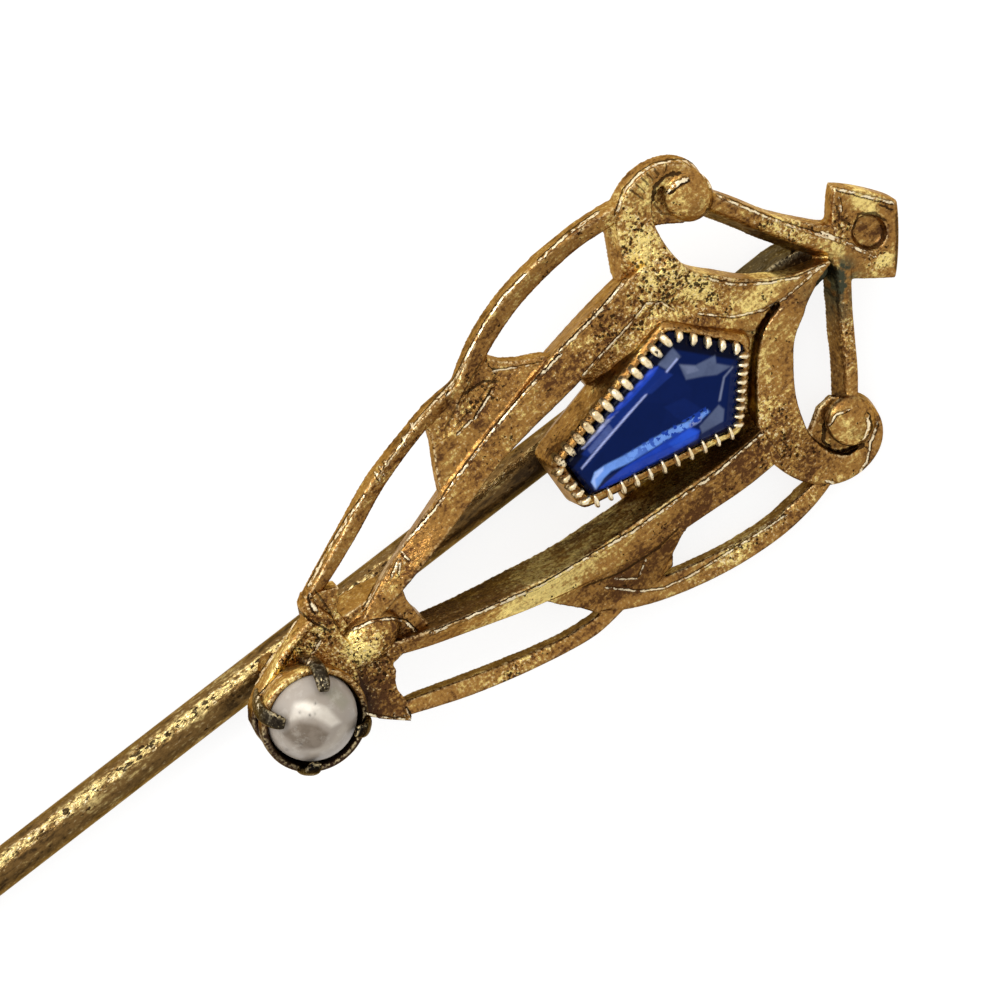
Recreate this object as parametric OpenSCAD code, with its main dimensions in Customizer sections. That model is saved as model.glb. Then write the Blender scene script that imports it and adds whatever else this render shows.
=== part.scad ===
// Gilt stick pin: a pierced cast head with a kite stone and a pearl, soldered to a round stem.
// The head frame has x along the stem towards the finial, y to the left seen from above,
// and z up from the axis of the stem. The finished pin is rolled about its stem, as it lies by itself.

/* [Stem] */
// Diameter of the round stem
stem_d = 1.0; // [0.8:0.05:1.1]
// Length of the whole pin, from the point to the tip of the finial
pin_length = 60; // [50:1:70]
// Length of the sharpened point
point_length = 7; // [4:0.5:10]

/* [Stone] */
// Width of the kite stone across its shoulders
stone_w = 3.26; // [3.1:0.02:3.36]
// Width of the narrow end of the kite stone
stone_end_w = 1.0; // [0.8:0.05:1.2]
// Gap between a stone and the metal round it
stone_gap = 0.05; // [0.03:0.01:0.06]

/* [Pearl] */
// Diameter of the pearl
pearl_d = 2.32; // [2.1:0.02:2.34]

/* [Head] */
// Half of the lozenge finial, along the pin
lozenge_len = 1.12; // [1:0.02:1.3]
// Half of the lozenge finial, across the pin
lozenge_w = 1.42; // [1.2:0.02:1.6]
// Radius of the knobs in the scrolls
knob_r = 0.52; // [0.4:0.01:0.55]
// Radius of a grain on the rim of the collet
grain_r = 0.13; // [0.1:0.01:0.15]

/* [Hidden] */

gilt = "#a8833f";
blue = "#17307f";
nacre = "#d9d4cc";

stem_r = stem_d / 2;
head_tip = 14.62;
point_x = head_tip - pin_length;
point_r = 0.04;
stem_end = 10.6;

function unit(v) = v / norm(v);
function flipped(faces) = [for (f = faces) [f[0], f[2], f[1]]];

// Rows between two rows of a table, on a smooth curve through all of its rows
function curve_row(a, b, c, d, t) =
    0.5 * (2 * b + (c - a) * t + (2 * a - 5 * b + 4 * c - d) * t * t + (3 * b - a - 3 * c + d) * t * t * t);
function curve(rows, steps) = [
    for (i = [0 : len(rows) - 2], k = [0 : steps - 1])
        curve_row(rows[max(i - 1, 0)], rows[i], rows[i + 1], rows[min(i + 2, len(rows) - 1)], k / steps),
    rows[len(rows) - 1]
];

// Columns of every strand table: place along, place to the left, height of the top,
// half of the width, rise of the top towards the middle of the head, depth of the walls
X = 0;
Y = 1;
TOP = 2;
HALF = 3;
LEAN = 4;
DEPTH = 5;

v_arm_rows = [
    [-2.40, 0.45, 2.50, 0.20, 0.00, 1.10],
    [-1.38, 0.88, 2.52, 0.27, 0.10, 1.10],
    [-0.12, 1.32, 2.54, 0.29, 0.17, 1.15],
    [1.13, 1.71, 2.50, 0.30, 0.10, 1.20],
    [2.40, 2.09, 2.41, 0.30, 0.07, 1.25],
    [3.65, 2.33, 2.35, 0.36, 0.03, 1.25],
    [4.90, 2.53, 2.28, 0.42, 0.04, 1.20],
    [6.16, 2.66, 2.13, 0.46, 0.06, 1.10],
    [7.40, 2.78, 2.00, 0.47, 0.02, 1.00],
    [8.50, 2.80, 1.86, 0.48, 0.00, 0.95]
];
lower_arc_rows = [
    [-3.20, 2.00, 2.48, 0.12, 0, 0.40],
    [-2.62, 2.20, 2.48, 0.17, 0, 0.50],
    [-1.36, 2.75, 2.38, 0.18, 0, 0.50],
    [-0.10, 3.25, 2.20, 0.18, 0, 0.50],
    [1.16, 3.61, 2.14, 0.16, 0, 0.50],
    [2.14, 3.78, 2.05, 0.15, 0, 0.50],
    [3.02, 3.76, 1.90, 0.12, 0, 0.45]
];
upper_arc_rows = [
    [1.55, 2.25, 2.25, 0.08, 0, 0.50],
    [2.44, 3.05, 2.10, 0.14, 0, 0.50],
    [3.07, 3.58, 1.95, 0.17, 0, 0.50],
    [3.71, 3.99, 1.80, 0.20, 0, 0.50],
    [4.40, 4.36, 1.68, 0.22, 0, 0.50],
    [5.29, 4.72, 1.60, 0.22, 0, 0.50],
    [6.28, 4.92, 1.58, 0.22, 0, 0.50],
    [7.37, 4.98, 1.58, 0.22, 0, 0.55],
    [8.26, 4.90, 1.55, 0.22, 0, 0.60],
    [8.95, 4.72, 1.50, 0.20, 0, 0.65]
];
batwing_rows = [
    [11.20, 0.30, 1.43, 0.26, 0, 0.60],
    [10.86, 0.40, 1.45, 0.36, 0, 0.63],
    [10.17, 0.72, 1.45, 0.45, 0, 0.70],
    [9.62, 1.33, 1.50, 0.50, 0, 0.75],
    [9.19, 2.00, 1.66, 0.53, 0, 0.85],
    [8.90, 2.70, 1.76, 0.57, 0, 0.90],
    [8.82, 3.30, 1.66, 0.54, 0, 0.80],
    [8.94, 4.00, 1.56, 0.50, 0, 0.70],
    [9.30, 4.55, 1.52, 0.50, 0, 0.65]
];
bar_rows = [
    [10.60, 3.80, 1.40, 0.26, 0, 0.55],
    [11.10, 2.80, 1.42, 0.30, 0, 0.55],
    [11.75, 1.40, 1.34, 0.31, 0, 0.55],
    [12.45, 0.00, 1.24, 0.30, 0, 0.55]
];
foot_rows = [
    [-3.15, 2.22, 2.50, 0.12, 0, 0.20],
    [-3.16, 1.95, 2.48, 0.26, 0, 0.50],
    [-3.18, 1.50, 2.42, 0.42, 0, 0.75],
    [-3.15, 0.90, 2.36, 0.55, 0, 1.00],
    [-3.15, 0.30, 2.32, 0.60, 0, 1.10]
];
strap_rows = [
    [-3.35, 1.55, 2.58, 0.14, 0, 0.50],
    [-3.90, 1.38, 2.66, 0.14, 0, 0.50],
    [-4.60, 1.14, 2.70, 0.14, 0, 0.50],
    [-5.40, 0.86, 2.70, 0.14, 0, 0.50],
    [-5.90, 0.40, 2.70, 0.14, 0, 0.50],
    [-6.00, -0.15, 2.70, 0.14, 0, 0.50]
];
// How far each side is pushed along the pin for each millimetre to its left
foot_skew = -0.115;
web_skew = -0.09;
wing_skew = -0.045;
scroll_skew = 0.02;

// One cross-section of a strand, as offsets towards the middle and up from its top
bevel = 0.10;
function strand_section(r, outer_foot) = [
    [-r[HALF], -bevel - r[LEAN]],
    [-0.6 * r[HALF], -0.6 * r[LEAN]],
    [0.6 * r[HALF], 0.6 * r[LEAN]],
    [r[HALF], -bevel + r[LEAN]],
    [0.85 * r[HALF], -r[DEPTH]],
    [-outer_foot * r[HALF], -r[DEPTH]]
];
function strand_heading(rows, i) =
    let (a = rows[max(i - 1, 0)], b = rows[min(i + 1, len(rows) - 1)]) unit([b[X] - a[X], b[Y] - a[Y]]);
function strand_ring(rows, i, side, skew, outer_foot) =
    let (r = rows[i], h = strand_heading(rows, i))
    [
        for (p = strand_section(r, outer_foot))
            let (left = side * (r[Y] - h[0] * p[0]))
            [r[X] + h[1] * p[0] + skew * left, left, r[TOP] + p[1]]
    ];

// A bar swept along the rows of a strand table
module strand(rows, side, steps, skew, outer_foot) {
    fine = curve(rows, steps);
    last = len(fine) - 1;
    n = 6;
    points = [for (i = [0 : last]) each strand_ring(fine, i, side, skew, outer_foot)];
    walls = [
        for (i = [0 : last - 1], k = [0 : n - 1])
            let (a = i * n + k, b = i * n + (k + 1) % n)
            each [[a, b, b + n], [a, b + n, a + n]]
    ];
    caps = [for (k = [1 : n - 2]) each [[0, k + 1, k], [last * n, last * n + k, last * n + k + 1]]];
    faces = concat(walls, caps);
    polyhedron(points, side > 0 ? flipped(faces) : faces);
}

// The pair of bars, whose outer walls slope in to outer_foot of the half width
module both_sides(rows, steps = 3, skew = 0, outer_foot = 0.85) {
    for (side = [-1, 1]) strand(rows, side, steps, skew, outer_foot);
}

// A slab on an outline, with a flat top that falls along the pin
module slab(outline, top, depth, fall = 0, skew = 0) {
    multmatrix([[1, skew, 0, 0], [0, 1, 0, 0], [-fall, 0, 1, top - depth], [0, 0, 0, 1]])
        linear_extrude(depth) polygon(outline);
}

function sided(outline, side) = [for (p = outline) [p[0], side * p[1]]];
function mirrored(half) = concat(half, [for (i = [len(half) - 1 : -1 : 0]) [half[i][0], -half[i][1]]]);

// Leaf web between the arcs and a V arm
web_outline = [
    [1.20, 1.95], [1.50, 2.50], [1.88, 3.10], [2.05, 3.50], [2.70, 3.78], [3.70, 3.99],
    [4.33, 4.00], [4.56, 3.62], [4.95, 3.30], [5.50, 3.02], [4.70, 2.60], [2.50, 2.15]
];
module webs() {
    for (side = [-1, 1]) slab(sided(web_outline, side), 2.12, 0.6, 0.08, web_skew);
}

// Floor of the kite recess, left half
recess_half = [[5.68, 0.4], [5.68, 2.40], [8.10, 2.70], [9.40, 1.50], [10.30, 0.70], [11.10, 0.20]];
module recess() {
    slab(mirrored(recess_half), 1.05, 0.65);
}

// Point where the two wings meet, left half
cusp_half = [[10.70, 0.55], [11.20, 0.42], [11.70, 0.24], [12.36, 0.02]];
module cusp() {
    slab(mirrored(cusp_half), 1.40, 0.66);
}

// The scroll turns in a spiral round its knob: columns are the angle and the radius
knob_x = 10.30;
knob_y = 3.91;
knob_z = 1.42;
scroll_r = 1.34;
scroll_top = 1.52;
scroll_depth = 0.60;
spiral = [[-90, 0.58], [-45, 0.60], [0, 0.66], [45, 0.90], [90, scroll_r], [135, 1.50], [180, 1.30]];
module scroll(side) {
    outline = [
        for (a = [-90 : 15 : 180])
            let (r = lookup(a, spiral)) [knob_x + r * cos(a), side * min(knob_y + r * sin(a), knob_y + scroll_r)]
    ];
    slab(outline, scroll_top, scroll_depth, 0, scroll_skew);
    translate([knob_x + scroll_skew * side * knob_y, side * knob_y, knob_z]) sphere(knob_r, $fn = 18);
}

// Lozenge with blunt corners and a sunk pit
finial_top = 1.22;
pit_scale = 0.44;
pit_floor = 0.90;
module finial() {
    centre_x = head_tip - lozenge_len;
    blunt = 0.10;
    half = [[lozenge_len, blunt], [blunt, lozenge_w], [-blunt, lozenge_w], [-lozenge_len, blunt]];
    difference() {
        translate([centre_x, 0, 0]) slab(mirrored(half), finial_top, 0.60);
        translate([centre_x, -0.08, pit_floor]) linear_extrude(1) scale(pit_scale) polygon(mirrored(half));
    }
}

// Kite outline of the stone, grown outward by an offset
stone_x = 3.99;
shoulder_x = 7.95;
stone_tip = 9.26;
function kite(g) =
    let (end_y = stone_end_w / 2 + 0.75 * g, side_y = stone_w / 2 + 1.02 * g)
    [
        [stone_x - g, end_y], [shoulder_x + 0.25 * g, side_y], [stone_tip + 1.3 * g, 0],
        [shoulder_x + 0.25 * g, -side_y], [stone_x - g, -end_y]
    ];
girdle_top = 2.42;
girdle_fall = 0.054;
function girdle_z(x) = girdle_top - girdle_fall * (x - stone_x);

// Kite outlines at a level height, or at a rise above the sloping girdle
function level_kite(g, z) = [for (p = kite(g)) [p[0], p[1], z]];
function girdle_kite(g, rise) = [for (p = kite(g)) [p[0], p[1], girdle_z(p[0]) + rise]];

// A solid through kite outlines, from the lowest to the highest
module kite_solid(rings) {
    n = len(rings[0]);
    last = (len(rings) - 1) * n;
    walls = [
        for (i = [0 : len(rings) - 2], k = [0 : n - 1])
            let (a = i * n + k, b = i * n + (k + 1) % n)
            each [[a, b, b + n], [a, b + n, a + n]]
    ];
    caps = [for (k = [1 : n - 2]) each [[0, k + 1, k], [last, last + k, last + k + 1]]];
    polyhedron([for (ring = rings) each ring], concat(walls, caps));
}

// Rows of grains along the edges of the rim
grain_pitch = 0.36;
grain_rise = 0.05;
module grains() {
    rim = kite(0.16);
    for (k = [0 : len(rim) - 1]) {
        a = rim[k];
        b = rim[(k + 1) % len(rim)];
        count = round(norm(b - a) / grain_pitch);
        for (i = [0 : count - 1]) {
            p = a + (b - a) * (i + 0.5) / count;
            translate([p[0], p[1], girdle_z(p[0]) + grain_rise]) sphere(grain_r, $fn = 6);
        }
    }
}

// Box of the collet, hollow under the stone, with an upright wall round its girdle
seat_z = 1.80;
module collet() {
    difference() {
        kite_solid([level_kite(0.34, 0.42), girdle_kite(0.24, 0.02)]);
        kite_solid([level_kite(-0.35, 0.80), girdle_kite(-0.12, -0.20)]);
        kite_solid([level_kite(stone_gap, seat_z), girdle_kite(stone_gap, 0.5)]);
    }
    grains();
}

// Claw cup of the pearl
cup_x = -4.83;
pearl_z = 3.54;
cup_r = 1.34;
claw_profile = [
    [1.18, -1.00], [1.36, -0.60], [1.44, 0.10], [1.40, 0.50], [1.16, 0.86], [0.90, 0.94],
    [0.88, 0.82], [1.06, 0.72], [1.24, 0.40], [1.26, 0.00], [1.10, -0.90]
];
module cup() {
    translate([cup_x, 0, 0]) {
        difference() {
            translate([0, 0, 1.60]) cylinder(h = 1.96, r1 = 0.78, r2 = cup_r, $fn = 40);
            translate([0, 0, pearl_z]) sphere(pearl_d / 2 + stone_gap, $fn = 28);
        }
        for (a = [48, 132, 228, 312])
            rotate([0, 0, a]) translate([0, 0, pearl_z]) rotate([90, 0, 0])
                linear_extrude(0.36, center = true) polygon(claw_profile);
        cylinder(h = 1.8, r = 0.42, $fn = 20);
    }
}

// Plate and boss between the feet, and the post down to the stem
base_half = [[-4.1, 0.7], [-2.9, 1.0], [-1.5, 1.0], [-1.2, 0.5]];
module base() {
    both_sides(foot_rows, 2, foot_skew);
    both_sides(strap_rows, 2);
    slab(mirrored(base_half), 2.30, 1.1);
    translate([-2.55, 0, 2.30]) scale([0.95, 0.68, 0.55]) sphere(1, $fn = 28);
    translate([-3.1, 0, 0]) cylinder(h = 1.6, r = 0.4, $fn = 20);
}

// Flattened end of the stem under the cusp, left half
tang_half = [[stem_end - 0.5, 0.4], [11.2, 0.58], [12.0, 0.45]];
module tang() {
    slab(mirrored(tang_half), 0.90, 1.05);
}

module head() {
    both_sides(v_arm_rows, outer_foot = 0.2);
    both_sides(lower_arc_rows);
    both_sides(upper_arc_rows);
    both_sides(batwing_rows, 3, wing_skew);
    both_sides(bar_rows, 2, wing_skew);
    webs();
    recess();
    cusp();
    for (side = [-1, 1]) scroll(side);
    finial();
    collet();
    cup();
    base();
    tang();
    sleeve();
}

// Sleeve that carries the stem under the head
sleeve_x = -5.60;
sleeve_wall = 0.02;
module sleeve() {
    translate([sleeve_x, 0, 0]) rotate([0, 90, 0])
        cylinder(h = stem_end - sleeve_x, r = stem_r + sleeve_wall, $fn = 24);
}

module stem() {
    shank = point_x + point_length;
    into_sleeve = 0.5;
    translate([shank, 0, 0]) rotate([0, 90, 0]) cylinder(h = sleeve_x + into_sleeve - shank, r = stem_r, $fn = 48);
    translate([point_x, 0, 0]) rotate([0, 90, 0]) cylinder(h = point_length, r1 = point_r, r2 = stem_r, $fn = 48);
}

// The pin lies on its stem and on the lower edge of its right-hand scroll
scroll_reach = knob_y + scroll_r;
scroll_low = scroll_top - scroll_depth;
roll = atan2(scroll_low, scroll_reach) + asin(stem_r / norm([scroll_low, scroll_reach]));
mid_x = (point_x + head_tip) / 2;
mid_y = -(scroll_top + scroll_low) / 2 * sin(roll);
module lying() {
    translate([-mid_x, -mid_y, stem_r]) rotate([roll, 0, 0]) children();
}

module gilt_mount() {
    color(gilt) lying() {
        resize([0, 0, 0]) union() head();
        stem();
    }
}

// Step-cut stone: columns are the offset of the outline and its rise above the girdle
culet_offset = -0.50;
culet_z = 1.50;
crown_rows = [[0, 0], [-0.20, 0.16], [-0.42, 0.27]];
module kite_stone() {
    color(blue) lying()
        kite_solid(concat([level_kite(culet_offset, culet_z)], [for (r = crown_rows) girdle_kite(r[0], r[1])]));
}

module pearl() {
    color(nacre) lying() translate([cup_x, 0, pearl_z]) sphere(pearl_d / 2, $fn = 48);
}

gilt_mount();
kite_stone();
pearl();
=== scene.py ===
"""Looks of a gilt stick pin with a kite-cut blue stone and a pearl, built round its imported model.

Shapes are made in millimetres in the head frame: x along the stem towards the finial, y to the left
seen from above, z up from the axis of the stem. place() turns them into the row frame in metres.
"""

import math

import bpy
import numpy as np
from mathutils import Matrix, Vector


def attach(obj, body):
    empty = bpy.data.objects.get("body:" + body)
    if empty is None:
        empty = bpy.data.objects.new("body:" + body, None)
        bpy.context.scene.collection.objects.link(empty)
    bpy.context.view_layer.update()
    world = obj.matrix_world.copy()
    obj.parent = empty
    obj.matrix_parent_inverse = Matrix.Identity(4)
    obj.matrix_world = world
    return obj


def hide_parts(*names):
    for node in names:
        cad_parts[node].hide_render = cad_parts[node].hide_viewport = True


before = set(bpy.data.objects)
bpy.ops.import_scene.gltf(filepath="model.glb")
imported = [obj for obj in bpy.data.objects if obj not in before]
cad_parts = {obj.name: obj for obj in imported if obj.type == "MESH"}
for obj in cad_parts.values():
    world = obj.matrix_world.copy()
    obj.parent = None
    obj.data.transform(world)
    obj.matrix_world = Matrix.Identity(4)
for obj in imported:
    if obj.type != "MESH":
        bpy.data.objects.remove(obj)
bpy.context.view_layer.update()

# Sizes in millimetres, the same as in the model
MM = 0.001
STEM_R, POINT_R = 0.5, 0.04
HEAD_TIP = 14.62
PIN_LENGTH = 60.0
POINT_LENGTH = 7.0
POINT_X = HEAD_TIP - PIN_LENGTH
STEM_END = 10.6
KNOB_X, KNOB_Y, KNOB_Z = 10.30, 3.91, 1.42
SCROLL_R, SCROLL_TOP, SCROLL_DEPTH = 1.34, 1.52, 0.60
SCROLL_SKEW = -0.012

# The pin lies on its stem and on the lower edge of its right-hand scroll
REACH = KNOB_Y + SCROLL_R
LOW = SCROLL_TOP - SCROLL_DEPTH
ROLL = math.atan2(LOW, REACH) + math.asin(STEM_R / math.hypot(LOW, REACH))
LYING = Matrix.Rotation(ROLL, 3, "X")
SHIFT = Vector((-(POINT_X + HEAD_TIP) / 2, (SCROLL_TOP + LOW) / 2 * math.sin(ROLL), STEM_R))


def place(points):
    """Points in millimetres in the head frame, as metres in the row frame."""
    turned = np.asarray(points, float) @ np.array(LYING).T
    return (turned + np.array(SHIFT)) * MM


# Camera, almost straight above the pin as it lies
VIEW_ROLL, VIEW_TILT, VIEW_TURN = map(math.radians, (28.0, 3.0, 37.7))
VIEW_DISTANCE, LENS, CLIP_START = 250.0, 360.0, 0.01
AIM = Vector((2.258, -0.351, 0.0))
# Directions towards the view, and across it to the left
TOWARDS_VIEW = np.array((0.0, 0.47, 0.88))
ACROSS_VIEW = np.array((0.0, math.cos(VIEW_ROLL), -math.sin(VIEW_ROLL)))
# The view comes from the left, so a point is seen this much further right for each millimetre of its height
VIEW_SLOPE = 0.532


def new_object(name, data):
    """A new object in the scene."""
    obj = bpy.data.objects.new(name, data)
    bpy.context.scene.collection.objects.link(obj)
    return obj


def add_camera():
    """Camera aimed at the head, and turned so that the stem slants in the picture."""
    sin_tilt, cos_tilt = math.sin(VIEW_TILT), math.cos(VIEW_TILT)
    sin_roll, cos_roll = math.sin(VIEW_ROLL), math.cos(VIEW_ROLL)
    back = Vector((-sin_tilt, sin_roll * cos_tilt, cos_roll * cos_tilt))
    along = Vector((cos_tilt, sin_tilt * sin_roll, sin_tilt * cos_roll))
    across = Vector((0, -cos_roll, sin_roll))
    right = along * math.cos(VIEW_TURN) + across * math.sin(VIEW_TURN)
    up = along * math.sin(VIEW_TURN) - across * math.cos(VIEW_TURN)
    axes = [LYING @ v for v in (right, up, back)]
    data = bpy.data.cameras.new("camera")
    data.lens = LENS
    data.clip_start = CLIP_START
    camera = new_object("camera", data)
    turn = Matrix(axes).transposed().to_4x4()
    camera.matrix_world = Matrix.Translation(place([AIM + back * VIEW_DISTANCE])[0]) @ turn
    bpy.context.scene.camera = camera


# Curves and closed shells


def curve(rows, steps):
    """Rows between the rows of a table, on a smooth curve through all of them."""
    rows = np.asarray(rows, float)
    out = []
    for i in range(len(rows) - 1):
        a, b = rows[max(i - 1, 0)], rows[i]
        c, d = rows[i + 1], rows[min(i + 2, len(rows) - 1)]
        square = 2 * a - 5 * b + 4 * c - d
        cube = 3 * b - a - 3 * c + d
        for k in range(steps):
            t = k / steps
            out.append(0.5 * (2 * b + (c - a) * t + square * t**2 + cube * t**3))
    out.append(rows[-1])
    return np.array(out)


# How far the end rings of a ball keep from its poles, as a share of the step between its rings
POLE_SHARE = 0.02


class Shells:
    """Closed shells that overlap, gathered before they are fused."""

    def __init__(self):
        self.points = []
        self.faces = []

    def add(self, points, faces):
        base = len(self.points)
        self.points += [tuple(map(float, p)) for p in points]
        self.faces += [tuple(i + base for i in f) for f in faces]

    def rings(self, rings, looped=False):
        """A tube through rings of points, closed at both ends or looped into a hollow wall."""
        n, count = len(rings[0]), len(rings)
        faces = []
        for i in range(count if looped else count - 1):
            j = (i + 1) % count
            for k in range(n):
                m = (k + 1) % n
                faces.append((i * n + k, i * n + m, j * n + m, j * n + k))
        if not looped:
            faces.append(tuple(range(n - 1, -1, -1)))
            faces.append(tuple((count - 1) * n + k for k in range(n)))
        self.add([p for ring in rings for p in ring], faces)

    def sweep(self, rows, across=None, sides=14, square=0.75):
        """A rounded bar through rows of x, y, z, half width and half thickness."""
        rows = np.asarray(rows, float)
        heading = np.gradient(rows[:, :3], axis=0)
        rings = []
        for row, h in zip(rows, heading):
            h = Vector(h).normalized()
            wide = h.cross(Vector((0, 0, 1))) if across is None else Vector(across)
            wide = (wide - h * wide.dot(h)).normalized()
            thick = wide.cross(h)
            ring = []
            for k in range(sides):
                c, s = math.cos(2 * math.pi * k / sides), math.sin(2 * math.pi * k / sides)
                a = row[3] * math.copysign(abs(c) ** square, c)
                b = row[4] * math.copysign(abs(s) ** square, s)
                ring.append(Vector(row[:3]) + wide * a + thick * b)
            rings.append(ring)
        self.rings(rings)

    def slab(self, outline, top, depth, skew=0.0):
        """An upright prism with a flat top, whose outline leans along the pin by skew."""
        self.rings([[(x + skew * y, y, z) for x, y in outline] for z in (top - depth, top)])

    def plate(self, outline, depth):
        """An upright prism under an outline whose points have their own heights."""
        self.rings([[(x, y, z - depth) for x, y, z in outline], list(outline)])

    def lathe(self, centre, profile, sides=48):
        """A body turned round the upright line through centre, from rows of a height and a radius."""
        turns = [2 * math.pi * k / sides for k in range(sides)]
        rings = []
        for height, r in profile:
            rings.append([Vector(centre) + Vector((r * math.cos(a), r * math.sin(a), height)) for a in turns])
        self.rings(rings)

    def post(self, x, radius, top):
        """A round post that stands on the axis of the stem."""
        self.lathe((x, 0, 0), [(0.0, radius), (top, radius)], sides=24)

    def ball(self, centre, radii, sides=32):
        """An ellipsoid with its axes along x, y and z."""
        turns = np.linspace(0, 2 * math.pi, sides, endpoint=False)
        steps = sides // 2
        rings = []
        for i in range(steps + 1):
            a = math.pi * (i + POLE_SHARE) / (steps + 2 * POLE_SHARE)
            wide, deep = radii[0] * math.sin(a), radii[1] * math.sin(a)
            z = centre[2] - radii[2] * math.cos(a)
            rings.append([(centre[0] + wide * math.cos(b), centre[1] + deep * math.sin(b), z) for b in turns])
        self.rings(rings)


# Columns of the strand tables, as in the model: along, to the left, top, half width, lean and depth
X, Y, TOP, HALF, LEAN, DEPTH = range(6)
BEVEL = 0.05
STRAND_STEPS = 8
SKEW_REACH = 2.7


def flat_section(r, outer_foot, inner_foot):
    """Offsets towards the middle and up: a flat top that leans up to the middle, with bevelled edges."""
    h, lean, depth = r[HALF], r[LEAN], r[DEPTH]
    return [
        (-h, -1.6 * BEVEL - lean),
        (-h + BEVEL, -lean),
        (h - BEVEL, lean),
        (h, -BEVEL + lean),
        (inner_foot * h, -depth),
        (-outer_foot * h, -depth),
    ]


def roof_section(r, outer_foot, inner_foot):
    """Offsets of a bar with a narrow top, an upright outer wall and a sloping inner wall."""
    h, depth = r[HALF], r[DEPTH]
    shoulders = [(-h, -2 * BEVEL), (-0.75 * h, 0.0), (0.55 * h, 0.0), (h, -2 * BEVEL)]
    return shoulders + [(inner_foot * h, -depth), (-outer_foot * h, -depth)]


def strand(
    shells, rows, side, section=flat_section, skew=0.0, slip=0.0, still=0.0, outer_foot=0.85, inner_foot=0.9
):
    """A bar along the rows of a table, on the left where side is 1 and on the right where it is -1.

    It moves along the pin by skew for each millimetre that it lies to the left, and to the left by slip for
    each millimetre that it lies past still.
    """
    fine = curve(rows, STRAND_STEPS)
    heading = np.gradient(fine[:, :2], axis=0)
    heading /= np.linalg.norm(heading, axis=1)[:, None]
    rings = []
    outer = np.linspace(*np.broadcast_to(outer_foot, 2), len(fine))
    inner = np.linspace(*np.broadcast_to(inner_foot, 2), len(fine))
    for r, h, *feet in zip(fine, heading, outer, inner):
        ring = []
        for inward, up in section(r, *feet):
            left = side * (r[Y] - h[0] * inward) + slip * (r[X] - still)
            along = r[X] + h[1] * inward + skew * np.clip(left, -SKEW_REACH, SKEW_REACH)
            ring.append((along, left, r[TOP] + up))
        rings.append(ring if side > 0 else ring[::-1])
    shells.rings(rings)


def both_sides(shells, rows, **form):
    """The same strand on both sides of the head."""
    for side in (-1, 1):
        strand(shells, rows, side, **form)


def mirrored(half):
    """An outline from the half of it that lies on the left."""
    return list(half) + [(x, -y) for x, y in reversed(half)]


# Openwork of the head
V_ARM = [
    (-2.4, 0.45, 2.5, 0.2, 0, 1.1), (-1.38, 0.88, 2.52, 0.27, 0.1, 1.1),
    (-0.12, 1.31, 2.54, 0.32, 0.17, 1.15), (1.13, 1.69, 2.5, 0.36, 0.1, 1.2),
    (2.4, 2.06, 2.41, 0.37, 0.07, 1.25), (3.65, 2.3, 2.35, 0.42, 0.03, 1.25),
    (4.9, 2.51, 2.28, 0.49, 0.04, 1.2), (6.16, 2.68, 2.13, 0.52, 0.06, 1.1), (7.4, 2.82, 2, 0.51, 0.02, 1),
    (8.5, 2.84, 1.86, 0.51, 0, 0.95),
]
LOWER_ARC = [
    (-3.2, 2, 2.48, 0.12, -0.05, 0.4), (-2.62, 2.18, 2.48, 0.19, -0.05, 0.5),
    (-1.36, 2.71, 2.38, 0.23, -0.05, 0.5), (-0.1, 3.22, 2.2, 0.22, -0.05, 0.5),
    (1.16, 3.59, 2.14, 0.19, -0.05, 0.5), (2.14, 3.78, 2.05, 0.19, -0.05, 0.5),
    (3.02, 3.8, 1.9, 0.16, -0.05, 0.45),
]
UPPER_ARC = [
    (1.55, 2.25, 2.03, 0.08, -0.05, 0.4), (2.44, 3.05, 1.99, 0.13, -0.05, 0.4),
    (3, 3.67, 1.93, 0.22, -0.05, 0.5), (3.66, 4.07, 1.8, 0.27, -0.05, 0.5),
    (4.38, 4.39, 1.68, 0.29, -0.05, 0.5), (5.29, 4.68, 1.6, 0.29, -0.05, 0.5),
    (6.28, 4.87, 1.58, 0.28, -0.05, 0.5), (7.37, 4.95, 1.58, 0.25, -0.05, 0.55),
    (8.26, 4.88, 1.55, 0.24, -0.04, 0.6), (8.95, 4.78, 1.48, 0.2, -0.02, 0.58),
    (9.5, 4.62, 1.46, 0.14, 0, 0.54),
]
# The wing runs on over the top of the scroll and down to its knob
BATWING = [
    (11.7, 0.12, 1.4, 0.12, 0, 0.6), (11.2, 0.25, 1.43, 0.24, 0, 0.6), (10.86, 0.37, 1.45, 0.34, 0, 0.63),
    (10.17, 0.72, 1.45, 0.45, 0, 0.7), (9.62, 1.33, 1.5, 0.5, 0, 0.75), (9.14, 2, 1.66, 0.53, 0, 0.85),
    (8.79, 2.7, 1.76, 0.61, 0, 0.9), (8.73, 3.35, 1.66, 0.59, 0, 0.8), (8.87, 4, 1.56, 0.53, 0, 0.7),
    (9.16, 4.52, 1.5, 0.46, 0, 0.62), (9.56, 4.83, 1.47, 0.37, 0, 0.54), (10.05, 4.91, 1.46, 0.3, 0, 0.52),
    (10.5, 4.74, 1.45, 0.27, 0, 0.52), (10.76, 4.38, 1.42, 0.26, 0, 0.52),
    (10.8, 3.95, 1.36, 0.24, 0, 0.48), (10.72, 3.62, 1.3, 0.18, 0, 0.42),
]
# How much further in the left-hand wing bends, how far to the left, and over what reach
WING_BEND, BEND_Y, BEND_REACH = 0.10, 2.0, 0.7
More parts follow.
